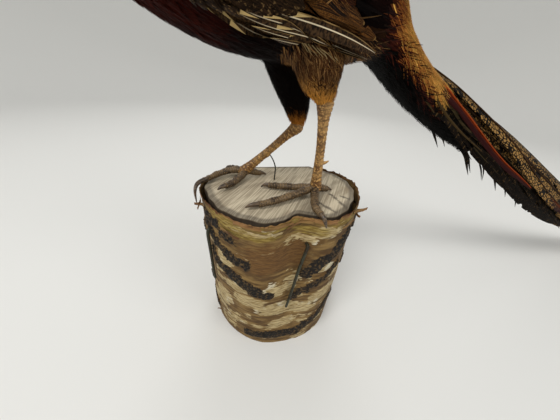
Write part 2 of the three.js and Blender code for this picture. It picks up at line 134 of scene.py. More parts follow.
BAKE_MARGIN = 0.01


def sheet(name, place, columns, rows, wrap=False, cap=False, thickness=0.0, attributes=None, bake=None):
    """A grid of columns x rows cells, moved by place(u, v) with u and v from 0 to 1, in mm.

    wrap joins the two long edges into a tube, cap closes the tube's ends, and bake gives the share
    of the OFBake map's width that the grid takes. attributes(u, v, spots) gives named values."""
    bm = bmesh.new()
    bmesh.ops.create_grid(bm, x_segments=columns, y_segments=rows, size=0.5)
    bm.verts.ensure_lookup_table()
    flat = np.array([v.co[:2] for v in bm.verts]) + 0.5
    if bake:
        unwrap = bm.loops.layers.uv.new("OFBake")
        for face in bm.faces:
            for loop in face.loops:
                u, v = flat[loop.vert.index]
                loop[unwrap].uv = (bake[0] + (bake[1] - bake[0]) * u,
                                   BAKE_MARGIN + (1 - 2 * BAKE_MARGIN) * v)
    spots = place(flat[:, 0], flat[:, 1])
    fields = attributes(flat[:, 0], flat[:, 1], spots) if attributes else {}
    layers = [(bm.verts.layers.float.new(key), values) for key, values in fields.items()]
    for i, vert in enumerate(bm.verts):
        vert.co = spots[i] * MM
        for layer, values in layers:
            vert[layer] = float(values[i])
    if wrap:
        bmesh.ops.remove_doubles(bm, verts=bm.verts, dist=SAME_SPOT)
    if cap:
        bmesh.ops.holes_fill(bm, edges=[e for e in bm.edges if e.is_boundary], sides=0)
    if thickness:
        bmesh.ops.solidify(bm, geom=list(bm.faces), thickness=thickness * MM)
    bmesh.ops.recalc_face_normals(bm, faces=bm.faces)
    mesh = bpy.data.meshes.new(name)
    bm.to_mesh(mesh)
    bm.free()
    return new_object(name, mesh)


def joined(name, parts):
    """One object from several, with their shapes kept."""
    bm = bmesh.new()
    for part in parts:
        bm.from_mesh(part.data)
        bpy.data.objects.remove(part)
    mesh = bpy.data.meshes.new(name)
    bm.to_mesh(mesh)
    bm.free()
    return new_object(name, mesh)


def curve_points(points, count):
    """Points, evenly spaced by number, on a smooth curve through the given ones."""
    points = np.array(points, float)
    rows = np.column_stack([np.arange(len(points)), points])
    return along(rows, np.linspace(0, len(points) - 1, count))


PIPE_END = 0.55


def pipe(name, points, radii, sides, steps, dent=None, up=(0, 0, 1), flatten=1.0, attributes=None,
         bake=None):
    """A closed tube along a smooth curve; dent(angle, t, mm along) moves its wall outwards."""
    count = steps + 1
    line = curve_points(points, count)
    size = along([(t, r) for t, r in zip(np.linspace(0, 1, len(radii)), radii)], np.linspace(0, 1, count))
    heading = unit(np.gradient(line, axis=0))
    side = unit(np.cross(heading, np.array(up, float)))
    over = np.cross(side, heading)
    reach = np.concatenate([[0], np.cumsum(np.linalg.norm(np.diff(line, axis=0), axis=1))])

    def place(u, v):
        i = np.round(v * steps).astype(int)
        angle = 2 * np.pi * u
        radius = size[i, 0].copy()
        if dent is not None:
            radius = radius + dent(angle, v, reach[i])
        radius = np.where((i == 0) | (i == steps), radius * PIPE_END, radius)
        return (line[i] + side[i] * (radius * np.cos(angle))[:, None]
                + over[i] * (radius * flatten * np.sin(angle))[:, None])
    return sheet(name, place, sides, steps, wrap=True, cap=True, attributes=attributes, bake=bake)


# ------------------------------------------------------------------ shader building
FINISHES = {}


class Paint:
    """Short words for making a node material."""

    def __init__(self, name, roughness=0.6, **sockets):
        self.material = bpy.data.materials.new(name)
        FINISHES[name] = self.material
        self.material.use_nodes = True
        self.tree = self.material.node_tree
        self.shader = self.tree.nodes["Principled BSDF"]
        self.shader.inputs["Roughness"].default_value = roughness
        for key, value in sockets.items():
            self.shader.inputs[key.replace("_", " ")].default_value = value
        self.place = self.node("ShaderNodeTexCoord").outputs["Object"]

    def node(self, kind, **settings):
        made = self.tree.nodes.new(kind)
        for key, value in settings.items():
            setattr(made, key, value)
        return made

    def put(self, socket, value):
        if isinstance(value, bpy.types.NodeSocket):
            self.tree.links.new(value, socket)
        else:
            socket.default_value = value

    def math(self, kind, a, b=0.0):
        made = self.node("ShaderNodeMath", operation=kind)
        self.put(made.inputs[0], a)
        self.put(made.inputs[1], b)
        return made.outputs[0]

    def plus(self, a, b):
        return self.math("ADD", a, b)

    def minus(self, a, b):
        return self.math("SUBTRACT", a, b)

    def times(self, a, b):
        return self.math("MULTIPLY", a, b)

    def apart(self, a, b):
        return self.math("ABSOLUTE", self.minus(a, b))

    def between(self, low, high, value):
        """A soft step from 0 at the level low to 1 at the level high, which may be the lesser one."""
        made = self.node("ShaderNodeMapRange", interpolation_type="SMOOTHSTEP")
        self.put(made.inputs["Value"], value)
        made.inputs["From Min"].default_value = low
        made.inputs["From Max"].default_value = high
        return made.outputs["Result"]

    def mix(self, share, a, b, blend="MIX"):
        made = self.node("ShaderNodeMix", data_type="RGBA", blend_type=blend)
        self.put(made.inputs["Factor"], share)
        self.put(made.inputs[6], a)
        self.put(made.inputs[7], b)
        return made.outputs[2]

    def two_tone(self, value, a, b, low=0.35, high=0.65):
        """Colour a up to the level low of a value and colour b from its level high on."""
        return self.mix(self.between(low, high, value), a, b)

    def scaled(self, vector, x, y, z, turn=(0, 0, 0)):
        made = self.node("ShaderNodeMapping")
        self.put(made.inputs["Vector"], vector)
        made.inputs["Scale"].default_value = (x, y, z)
        made.inputs["Rotation"].default_value = turn
        return made.outputs["Vector"]

    def noise(self, scale, detail, vector=None, distortion=0.0):
        made = self.node("ShaderNodeTexNoise")
        self.put(made.inputs["Vector"], vector or self.place)
        made.inputs["Scale"].default_value = scale
        made.inputs["Detail"].default_value = detail
        made.inputs["Distortion"].default_value = distortion
        return made.outputs["Fac"]

    def cell_edges(self, vector):
        """How far each place is from the edge of its random cell."""
        made = self.node("ShaderNodeTexVoronoi", feature="DISTANCE_TO_EDGE")
        self.put(made.inputs["Vector"], vector)
        made.inputs["Scale"].default_value = 1.0
        return made.outputs["Distance"]

    def value(self, name):
        return self.node("ShaderNodeAttribute", attribute_name=name).outputs["Fac"]

    def colour(self, name):
        return self.node("ShaderNodeAttribute", attribute_name=name).outputs["Color"]

    def uv(self, name):
        """The across and along parts of a UV map, and the map itself."""
        made = self.node("ShaderNodeUVMap", uv_map=name)
        parts = self.node("ShaderNodeSeparateXYZ")
        self.put(parts.inputs[0], made.outputs["UV"])
        return parts.outputs[0], parts.outputs[1], made.outputs["UV"]

    def toned(self, colour):
        """The colour times each vane's own tone."""
        return self.mix(1.0, colour, self.colour("Tone"), "MULTIPLY")

    def done(self, colour, bump=None, distance=0.0, strength=1.0):
        """The finished material, with bumps whose depth is the distance in metres."""
        self.put(self.shader.inputs["Base Color"], colour)
        if bump is not None:
            made = self.node("ShaderNodeBump")
            made.inputs["Distance"].default_value = distance
            made.inputs["Strength"].default_value = strength
            self.put(made.inputs["Height"], bump)
            self.put(self.shader.inputs["Normal"], made.outputs["Normal"])
        return self.material


# ------------------------------------------------------------------ camera, floor and light
CAMERA_PLACE = Vector((182.4, -42.1, 259.1)) * MM
CAMERA_RIGHT = Vector((0.1906, 0.9795, 0.0654))
CAMERA_DOWN = Vector((0.5533, -0.0522, -0.8313))
CAMERA_AHEAD = Vector((-0.8108, 0.1947, -0.5519))
SENSOR_WIDTH = 36
LENS = 202 / 560 * SENSOR_WIDTH

camera_data = bpy.data.cameras.new("camera")
camera_data.lens = LENS
camera_data.sensor_width = SENSOR_WIDTH
camera_data.clip_start = 0.01
camera = bpy.data.objects.new("camera", camera_data)
bpy.context.scene.collection.objects.link(camera)
turn = Matrix((CAMERA_RIGHT, -CAMERA_DOWN, -CAMERA_AHEAD)).transposed()
camera.matrix_world = Matrix.Translation(CAMERA_PLACE) @ turn.to_4x4()
bpy.context.scene.camera = camera


def floor():
    """A wide pale dish: flat under the log, rising far off on every side."""
    radius, rise, flat, gap = 5.0, 3.0, 0.4, 0.0004

    def place(u, v):
        away = v * radius
        lift = smoothstep(flat, 1.0, v) ** 1.5 * rise
        angle = 2 * np.pi * u
        return np.column_stack([away * np.cos(angle), away * np.sin(angle), lift - gap]) / MM
    obj = sheet("floor", place, 96, 40, wrap=True)
    paint = Paint("floor_paper", 0.75)
    obj.data.materials.append(paint.done(srgb(229, 228, 223)))


# Lights: name, place, size and power, all aimed at one spot; lengths in metres
LIGHT_AIM = Vector((0, 0.1, 0.2))
LIGHTS = [("key_light", (0.9, -1.1, 1.9), 0.9, 25), ("side_light", (1.3, 1.5, 1.5), 1.1, 11),
          ("back_light", (-1.6, 0.4, 1.6), 1.2, 8.5)]


def lights():
    for name, place, size, power in LIGHTS:
        data = bpy.data.lights.new(name, "AREA")
        data.size = size
        data.energy = power
        obj = bpy.data.objects.new(name, data)
        obj.location = place
        obj.rotation_euler = (LIGHT_AIM - Vector(place)).to_track_quat("-Z", "Y").to_euler()
        bpy.context.scene.collection.objects.link(obj)


floor()
lights()
world = bpy.data.worlds.new("soft_room")
world.use_nodes = True
sky = world.node_tree.nodes["Background"]
sky.inputs["Color"].default_value = (0.93, 0.94, 0.95, 1)
sky.inputs["Strength"].default_value = 0.53
bpy.context.scene.world = world
bpy.context.scene.view_settings.view_transform = "Standard"


# ------------------------------------------------------------------ log
def log_radius(angle, z):
    """How far the bark's inner face is from the log's middle line, with the hollow in its side."""
    back = smoothstep(math.radians(85), math.radians(125), np.abs(angle))
    share = LOG["foot_share"] + (1 - LOG["foot_share"]) * z / LOG["height"]
    dent = LOG["hollow"] * share * np.exp(-((angle - LOG["hollow_at"]) / LOG["hollow_spread"]) ** 2)
    return LOG["radius"] * (1 - LOG["narrowing"] * back) - dent


def log_point(angle, inset, z):
    """A place on the log, some way in from the bark and cut off flat at the back."""
    radius = log_radius(angle, z) - inset
    return np.column_stack([np.maximum(radius * np.cos(angle), LOG["back"]), radius * np.sin(angle), z])


WOOD_INSET, WOOD_SIDE, GROOVE_DEPTH = 5.6, 4.1, 13.0
FOOT_CENTRE, TOP_CENTRE = (5, 0, 0), (14, 0)
# Short cracks in the sawn top, from (x, y) to (x, y)
CRACKS = [((38, 22), (60, 35)), ((30, 42), (56, 47)), ((34, 50), (40, 56))]


def wood_paint():
    """Sawn birch: pale saw marks on top, browner grain down the sides, painted shade in the groove under the
    rim, and dark cracks.
    """
    paint = Paint("sawn_birch", 0.82)
    normal = paint.node("ShaderNodeNewGeometry").outputs["Normal"]
    parts = paint.node("ShaderNodeSeparateXYZ")
    paint.put(parts.inputs[0], normal)
    top = paint.between(0.4, 0.7, parts.outputs[2])
    sawn = paint.scaled(paint.place, 1, 1, 1, (0, 0, math.radians(32)))
    grown = paint.scaled(paint.place, 1, 1, 1, (0, 0, math.radians(58)))
    marks = paint.noise(1.0, 2.0, paint.scaled(sawn, 30, 900, 20), 0.3)
    broad = paint.noise(1.0, 3.0, paint.scaled(grown, 16, 120, 10))
    grain = paint.noise(1.0, 4.0, paint.scaled(paint.place, 300, 300, 14))
    stain = paint.noise(22, 4)
    lines = paint.plus(paint.times(marks, 0.6), paint.times(broad, 0.4))
    pale = paint.two_tone(lines, srgb(150, 136, 112), srgb(204, 190, 162), 0.38, 0.62)
    pale = paint.two_tone(stain, pale, srgb(146, 128, 100), 0.5, 0.75)
    side = paint.two_tone(grain, srgb(140, 112, 78), srgb(192, 168, 128))
    # Painted shade in the groove and along the rim beside the bark, with dark lines along the cracks
    groove_shade_and_cracks = paint.value("shade")
    colour = paint.mix(top, side, pale)
    colour = paint.mix(groove_shade_and_cracks, colour, srgb(40, 30, 20))
    height = paint.plus(paint.times(lines, top), paint.times(grain, 0.3))
    return paint.done(colour, height, 0.0005, 0.6)


def log_wood():
    """The sawn log: rings up its side, over its rim and in to the middle of each end."""
    top, rim_inset = LOG["height"], WOOD_INSET + 1.4
    levels = [(0, WOOD_SIDE), (top * 0.5, WOOD_SIDE), (top - GROOVE_DEPTH, WOOD_SIDE),
              (top - GROOVE_DEPTH + 1, WOOD_INSET), (top - 1.2, WOOD_INSET),
              (top - 0.3, WOOD_INSET + 0.4), (top, rim_inset)]
    top_rings = np.linspace(1, 0, 26)[1:]
    heights = [0.0] * 2 + [z for z, _ in levels] + [top] * len(top_rings)
    insets = [None, 40.0] + [inset for _, inset in levels] + list(top_rings)
    steps = len(heights) - 1
    # Rows of the grid where the sawn top and the groove under its rim start
    first_top, groove = 2 + len(levels), 4

    def place(u, v):
        row = np.round(v * steps).astype(int)
        angle = (u * 2 - 1) * np.pi
        z = np.array(heights)[row]
        result = np.zeros((len(u), 3))
        for r in range(steps + 1):
            pick = row == r
            if r == 0:
                result[pick] = FOOT_CENTRE
                continue
            uneven = 0.6 * np.sin(9 * angle[pick]) + 0.5 * np.sin(23 * angle[pick] + 1)
            if r < first_top:
                inset = insets[r] + (uneven if insets[r] >= WOOD_INSET else 0)
                result[pick] = log_point(angle[pick], inset, z[pick])
            else:
                rim = log_point(angle[pick], rim_inset + uneven, z[pick])
                rim[:, :2] = (rim[:, :2] - TOP_CENTRE) * insets[r] + TOP_CENTRE
                result[pick] = rim
        return result

    def shade(_, v, spots):
        row = np.round(v * steps).astype(int)
        # Painted shade: darkest in the groove between bark and wood, less along the rim's edge above it; the
        # cracks in the top are dark lines
        dark = np.where((row >= groove) & (row < groove + 3), 0.95,
                        np.where((row > groove) & (row <= first_top), 0.55, 0.0))
        crack = 0
        for start, end in CRACKS:
            line = np.subtract(end, start).astype(float)
            t = np.clip(((spots[:, :2] - start) @ line) / (line @ line), 0, 1)
            gap = np.linalg.norm(spots[:, :2] - (start + t[:, None] * line), axis=1)
            crack = np.maximum(crack, (gap < 1.3) * 0.7)
        return {"shade": np.maximum(dark, crack * (spots[:, 2] > top - 0.1))}
    obj = sheet("log_wood_sawn", place, 200, steps, wrap=True, attributes=shade)
    return finish_piece(obj, wood_paint(), ["log_wood"])


# Dark bumpy ridges across the bark: rows of (degrees round the log, height), half height, darkness
BARK_RIDGES = [
    ([(-66, 150), (-57.6, 141), (-47, 132), (-38, 128), (-30, 128)], 4.2, 1.0),
    ([(-60, 118), (-54, 112), (-42, 107), (-33, 101), (-24, 95)], 6.2, 1.0),
    ([(-22, 93), (-14, 90)], 3.6, 0.8),
    ([(12, 113), (21.5, 125), (32, 134), (42, 146)], 6.8, 1.0),
    ([(2, 80), (14, 91), (24, 101), (38, 113)], 3.8, 0.6),
    ([(-32, 17), (-12, 21), (8, 18), (22, 32), (42, 50)], 6.2, 1.0),
    ([(-66, 160), (-52, 158)], 4.0, 0.9),
    ([(-48, 152), (-40, 149)], 3.0, 0.8),
    ([(58, 96), (78, 104), (98, 100)], 6.0, 0.9),
    ([(62, 30), (84, 42), (112, 40)], 7.0, 1.0),
    ([(52, 152), (70, 158), (84, 154)], 4.5, 0.8),
    ([(-78, 66), (-96, 74), (-116, 70)], 6.5, 1.0),
    ([(-80, 132), (-100, 126), (-120, 130)], 5.5, 0.8),
    ([(-70, 22), (-92, 30)], 5.5, 0.9),
]
# Pale peeled patches and the smooth brown patch: (degrees, height, half width in degrees, half height)
CREAM = [(-26, 164, 17, 2.6), (-8, 66, 17, 9), (4, 150, 12, 4), (22, 158, 12, 5), (-30, 76, 14, 6),
         (12, 60, 12, 7), (-4, 40, 12, 6), (-48, 122, 8, 7), (28, 74, 12, 8), (-40, 92, 10, 5),
         (24, 116, 9, 4), (-56, 60, 10, 14), (60, 70, 14, 12), (84, 130, 16, 9), (-96, 100, 18, 12),
         (104, 74, 12, 14), (-70, 40, 10, 8), (-14, 96, 14, 4), (4, 104, 8, 3)]
SMOOTH_BROWN = [(-16, 134, 21, 17), (2, 134, 12, 16), (70, 126, 18, 12), (-104, 48, 16, 12)]
OLIVE = [(-30, 160, 20, 3.2), (-6, 169, 26, 3), (10, 159, 14, 3), (-48, 166, 14, 3.4), (40, 166, 22, 2.6)]


def patch(marks, angle, z, ragged):
    """How far each place lies inside one of the marks, whose edges are ragged."""
    value = np.zeros_like(angle)
    for at, level, wide, tall in marks:
        far = np.hypot((np.degrees(angle) - at) / wide, (z - level) / tall)
        value = np.maximum(value, smoothstep(1.25, 0.7, far + 0.42 * ragged))
    return value


def bark_fields(angle, z):
    """How much ridge, cream, brown and olive lies at each place on the bark."""
    around = np.column_stack([np.cos(angle), np.sin(angle), np.zeros_like(angle)]) * LOG["radius"]
    spot = around + np.column_stack([np.zeros_like(z), np.zeros_like(z), z])
    streaky = rough(spot * (0.07, 0.07, 0.32), 4, 3)
    ridge, ridge_dark = np.zeros_like(angle), np.zeros_like(angle)
    for points, half, dark in BARK_RIDGES:
        line = np.array(points, float) * (np.radians(1) * LOG["radius"], 1)
        here = np.column_stack([angle * LOG["radius"], z])
        nearest = np.full_like(angle, 1e9)
        for a, b in zip(line[:-1], line[1:]):
            t = np.clip(((here - a) @ (b - a)) / ((b - a) @ (b - a)), 0, 1)
            nearest = np.minimum(nearest, np.linalg.norm(here - a - t[:, None] * (b - a), axis=1))
        nearest = nearest + 3.4 * rough(spot * (0.2, 0.2, 0.34), 4, 11)
        inside = smoothstep(half * 1.15, half * 0.5, nearest)
        ridge = np.maximum(ridge, inside)
        ridge_dark = np.maximum(ridge_dark, inside * dark)
    cream = patch(CREAM, angle, z, streaky)
    scattered = smoothstep(0.18, 0.42, rough(spot * (0.05, 0.05, 0.2), 4, 21)) * smoothstep(150, 110, z)
    cream = np.maximum(cream, scattered * 0.7) * (1 - ridge)
    brown = patch(SMOOTH_BROWN, angle, z, streaky * 0.8) * (1 - ridge)
    olive = patch(OLIVE, angle, z, streaky * 0.6)
    return spot, ridge, ridge_dark, cream * (1 - brown * 0.85), brown, olive


def bark_paint():
    """Streaky brown bark with cream, smooth brown and olive patches, and crusty dark ridges."""
    paint = Paint("birch_bark", 0.75, Specular_IOR_Level=0.3)
    streak = paint.noise(1.0, 5.0, paint.scaled(paint.place, 38, 38, 230), 0.4)
    fine = paint.noise(1.0, 4.0, paint.scaled(paint.place, 160, 160, 900))
    blot = paint.noise(70, 5)
    crust = paint.noise(420, 4)
    hair = paint.noise(1.0, 3.0, paint.scaled(paint.place, 90, 90, 1500))
    base = paint.two_tone(streak, srgb(84, 60, 30), srgb(136, 108, 62), 0.36, 0.64)
    base = paint.two_tone(blot, base, srgb(96, 70, 34), 0.52, 0.7)
    smooth = paint.two_tone(fine, srgb(92, 62, 28), srgb(114, 82, 42))
    base = paint.mix(paint.value("brown"), base, smooth)
    ragged = paint.plus(paint.value("cream"), paint.times(paint.minus(streak, 0.5), 2.0))
    ragged = paint.plus(ragged, paint.times(paint.minus(fine, 0.5), 1.2))
    cream = paint.two_tone(fine, srgb(142, 120, 76), srgb(194, 174, 130))
    cream = paint.two_tone(blot, cream, srgb(204, 194, 166), 0.55, 0.68)
    base = paint.two_tone(ragged, base, cream, 0.4, 0.62)
    yellow = paint.two_tone(fine, srgb(118, 94, 36), srgb(156, 134, 66), 0.4, 0.6)
    base = paint.mix(paint.times(paint.value("olive"), 0.85), base, yellow)
    lenticel = paint.between(0.66, 0.72, paint.noise(1.0, 2.0, paint.scaled(paint.place, 70, 70, 620)))
    base = paint.mix(paint.times(lenticel, 0.45), base, srgb(70, 46, 26))
    base = paint.mix(paint.times(paint.between(0.54, 0.66, hair), 0.5), base, srgb(58, 38, 20))
    dark = paint.two_tone(crust, srgb(22, 16, 9), srgb(96, 74, 44), 0.48, 0.72)
    edge = paint.plus(paint.value("ridge"), paint.times(paint.minus(crust, 0.5), 0.9))
    base = paint.two_tone(edge, base, dark, 0.3, 0.55)
    torn = paint.two_tone(streak, srgb(96, 58, 30), srgb(150, 108, 66), 0.4, 0.6)
    base = paint.mix(paint.value("rim"), base, torn)
    height = paint.plus(paint.times(streak, 0.5), paint.times(fine, 0.25))
    height = paint.plus(height, paint.times(crust, paint.value("ridge")))
    return paint.done(base, height, 0.0011, 0.8)


def bark_rim(angle):
    """Height of the bark's torn upper edge above the sawn wood."""
    ring = np.column_stack([np.cos(angle), np.sin(angle), np.zeros_like(angle)])
    return 0.9 + 1.6 * rough(ring * 5, 3, 5) + 1.1 * speckle(ring * 21, 9)


BARK_THICKNESS = 3.1


def log_bark():
    """The bark round the log, open at the flat back, with ridges, patches and a torn upper edge."""
    def place(u, v):
        angle = (u * 2 - 1) * LOG["bare"]
        z = v * (LOG["height"] + bark_rim(angle))
        spot, ridge, _, cream, _, olive = bark_fields(angle, z)
        out = -1.1 + 0.55 * rough(spot * 0.06, 3, 31) + 0.35 * rough(spot * (0.2, 0.2, 0.7), 3, 32)
        bumps, pits = np.abs(speckle(spot * 0.42, 8)), np.abs(speckle(spot * 0.9, 7))
        out = out + ridge * (1.5 + 1.3 * bumps - 0.9 * pits) + 0.45 * cream + 0.35 * olive
        flare = smoothstep(LOG["height"] - 7, LOG["height"], z) * (0.6 + 1.2 * rough(spot * 0.11, 3, 41))
        result = log_point(angle, -(out + flare), z)
        result[:, 2] = np.where(v == 0, 0, result[:, 2])
        return result

    def fields(u, v, _spots):
        angle = (u * 2 - 1) * LOG["bare"]
        _, _, dark, cream, brown, olive = bark_fields(angle, v * LOG["height"])
        return {"ridge": dark, "cream": cream, "brown": brown, "olive": olive,
                "rim": smoothstep(0.988, 0.997, v) * 0.8}
    obj = sheet("log_bark_torn", place, 300, 155, thickness=BARK_THICKNESS, attributes=fields)
    for vert in obj.data.vertices:
        vert.co.z = max(vert.co.z, 0.0)
    return finish_piece(obj, bark_paint(), ["log_bark"])


# Strips of torn bark: degrees round the log, height, length, width, and how far and which way they curl
CURLS = [(-72, 168, 13, 5, 1.5), (-66, 165, 9, 4, -1.3), (40, 169, 15, 5, 1.7), (47, 166, 8, 3.5, -1.2),
         (-63, 43, 5, 3, 1.0), (-61, 20, 5, 3, -1.0), (-20, 168, 24, 3, 0.25), (12, 166, 26, 2.6, -0.3),
         (-48, 157, 20, 3, 0.3), (95, 168, 14, 4, 1.2), (-110, 167, 12, 4, 1.1), (30, 160, 18, 2.4, 0.35)]


def bark_curls():
    """Thin strips of torn bark that stand out from the rim and the sides."""
    def fields(_, v, _spots):
        none = v * 0
        return {"rim": 0.25 + 0.5 * v, "olive": 0.3 * (1 - v), "cream": none, "ridge": none, "brown": none}
    strips = []
    for k, (at, level, length, width, curl) in enumerate(CURLS):
        def place(u, v):
            run = v * length
            angle = np.radians(at) + run / LOG["radius"] * np.sign(curl)
            uneven = speckle(np.column_stack([run, u * 3, run * 0 + k]), 3)
            out = 0.4 + abs(curl) * 4.2 * v**1.8 + 0.3 * uneven
            taper = 1 - 0.55 * v
            z = level + (u - 0.5) * width * taper + 1.4 * np.sin(v * 4 + k) * v
            return log_point(angle, -out, z)
        strips.append(sheet(f"strip_{k}", place, 4, 14, thickness=0.35, attributes=fields))
    finish_piece(joined("bark_curls", strips), FINISHES["birch_bark"])


def wire_paint():
    paint = Paint("iron_wire", 0.5, Metallic=0.55)
    rust = paint.noise(260, 3)
    return paint.done(paint.two_tone(rust, srgb(56, 58, 44), srgb(48, 37, 23), 0.45, 0.65),
                      rust, 0.0001, 0.5)


# The leg wires lie on the bark: rows of degrees round the log, height, and how far out from the bark
LEG_WIRES = {
    "leg_wire_left": [(9.4, 144.5, -1.5), (9.2, 144, 2.2), (8.6, 141, 3.0), (5.2, 118, 2.6),
                      (1.6, 92, 2.7), (-1.0, 74, 2.5), (-1.8, 68, 1.9)],
    "leg_wire_right": [(-60.6, 145, -1.5), (-60.8, 143, 2.4), (-61.4, 120, 2.5), (-62, 96, 2.4),
                       (-62.3, 78, 1.9)]}
LOOSE_WIRE = [(-4, -6, 170), (-6, -5.2, 176), (-9, -4.6, 182), (-14, -6.6, 188), (-20, -10, 192.6)]


def wires():
    paint = wire_paint()

    def wire(name, points, radius):
        radii = [radius, radius, radius * 0.95, radius * 0.8]
        finish_piece(pipe(f"{name}_bent", points, radii, 12, 60, up=(0.2, 1, 0)), paint, [name])
    for name, rows in LEG_WIRES.items():
        degrees, z, out = np.array(rows, float).T
        wire(name, log_point(np.radians(degrees), -out, z), 1.45)
    wire("loose_wire", LOOSE_WIRE, 0.65)


log_wood()
log_bark()
bark_curls()
wires()


# ------------------------------------------------------------------ the bird's surfaces
FLESH = ["trunk", "rump", "neck", "head", "thigh_left", "thigh_right"]
EYE = dict(radius=4.8, out=9.3, y=-139.0, z=458.5, clearing=7.0)
# Heights where the coat of each thigh ends
HEELS = {1: 243.0, -1: 219.0}
# The trunk's middle line as (y, z), the neck's as (z, y), and each thigh's as (-z, x, y)
TRUNK_CENTRE = [(-122, 326), (-99, 328), (-79, 327), (-50, 324), (-20, 320), (10, 311), (38, 300),
                (58, 291), (79, 280), (106, 258), (140, 242), (196, 218)]
NECK_LINE = [(330, -60), (338, -66), (366, -84), (392, -98), (418, -109), (438, -117), (450, -121),
             (480, -125)]
THIGH_LINES = {1: [(-300, 35, 0), (-282, 36, 7), (-267, 34, 11.5), (-257, 32.5, 15), (-243, 31, 21)],
               -1: [(-300, -13, -6), (-280, -12, -1), (-262, -10, 4), (-248, -9, 8.5), (-219, -9, 13.5)]}


class Cover:
    """The outside of some meshes: its nearest places and smooth normals, in millimetres."""

    def __init__(self, meshes):
        corners, faces, normals = [], [], []
        for mesh in meshes:
            start = len(corners)
            corners += [v.co / MM for v in mesh.vertices]
            normals += [tuple(v.normal) for v in mesh.vertices]
            faces += [[start + i for i in face.vertices] for face in mesh.polygons]
        self.tree = BVHTree.FromPolygons(corners, faces)
        self.faces = faces
        self.normals = np.array(normals)

    def snap(self, points):
        """The nearest place on the surface to each point, and its smooth normal."""
        places, normals = np.empty_like(points), np.empty_like(points)
        for i, point in enumerate(points):
            place, _, face, _ = self.tree.find_nearest(point)
            places[i], normals[i] = place, self.normals[self.faces[face]].mean(axis=0)
        return places, unit(normals)


def merged_copy(names):
    """One mesh of some CAD nodes, with the loose triangles of each joined."""
    bm = bmesh.new()
    for name in names:
        bm.from_mesh(NODES[name].data)
    bmesh.ops.remove_doubles(bm, verts=bm.verts, dist=SAME_SPOT)
    mesh = bpy.data.meshes.new("copy")
    bm.to_mesh(mesh)
    bm.free()
    return mesh


SKIN_CELL = 2.8


def one_body():
    """The flesh of the bird as one closed mesh without seams, as large as its coat."""
    obj = bpy.data.objects.new("flesh", merged_copy(FLESH))
    bpy.context.scene.collection.objects.link(obj)
    remesh = obj.modifiers.new("one_skin", "REMESH")
    remesh.mode = "VOXEL"
    remesh.voxel_size = SKIN_CELL * MM
    soft = obj.modifiers.new("soft", "SMOOTH")
    soft.factor, soft.iterations = 0.6, 5
    mesh = bpy.data.meshes.new_from_object(obj.evaluated_get(bpy.context.evaluated_depsgraph_get()))
    bpy.data.objects.remove(obj)
    return mesh


flesh_mesh = one_body()
BODY = Cover([flesh_mesh])
FACE_SPOTS = np.array([face.center[:] for face in flesh_mesh.polygons]) / MM
SIDE_NAME = {1: "left", -1: "right"}


# ------------------------------------------------------------------ regions and markings of the coat
def outward(p):
    """Angle round the body from straight up, signed, from the body's own middle line."""
    centre = along(TRUNK_CENTRE, p[:, 1])[:, 0]
    return np.arctan2(p[:, 0] - MIDLINE, p[:, 2] - centre)


def lowness(p):
    """How far down a thigh a place is, from 0 at the body to 1 at the bare heel."""
    heel = np.where(p[:, 0] > MIDLINE, HEELS[1], HEELS[-1])
    return smoothstep(44, 4, p[:, 2] - heel)


def thigh_share(p):
    """How far a place belongs to a thigh, from 0 to 1."""
    near = np.full(len(p), 1e9)
    for line in THIGH_LINES.values():
        middle = along(line, -p[:, 2])
        near = np.minimum(near, np.hypot(p[:, 0] - middle[:, 0], p[:, 1] - middle[:, 1]))
    return smoothstep(30, 24, near) * smoothstep(289, 277, p[:, 2])


def neck_share(p):
    """How far a place belongs to the neck, from 0 to 1."""
    return smoothstep(345, 372, p[:, 2]) * smoothstep(-35, -60, p[:, 1])


def head_share(p):
    """How far a place belongs to the head, from 0 to 1."""
    return smoothstep(436, 446, p[:, 2])


def rump_share(p):
    """How far a place belongs to the rump, from 0 to 1."""
    return smoothstep(44, 66, p[:, 1]) * (p[:, 2] > 190)


CRIMSON, SHADED_RED, EARTH_AND_SHADE = srgb(52, 14, 7), srgb(11, 4, 3), srgb(17, 11, 8)
GOLD, RUSTY_GOLD, MAROON, BLACK = srgb(198, 148, 70), srgb(142, 80, 34), srgb(62, 22, 15), srgb(6, 5, 4)
THIGH_BROWN, THIGH_BUFF = srgb(80, 50, 26), srgb(192, 132, 58)
FACE_BUFF, CHEEK = srgb(150, 92, 48), srgb(126, 66, 34)
NECK_ORANGE, GREEN, BLUE = srgb(170, 74, 20), srgb(22, 62, 34), srgb(18, 26, 58)


def blend(share, a, b):
    return a + (np.array(b) - a) * share[:, None]


def even(colour, places):
    """One colour for all of the places."""
    return np.tile(np.array(colour), (len(places), 1))


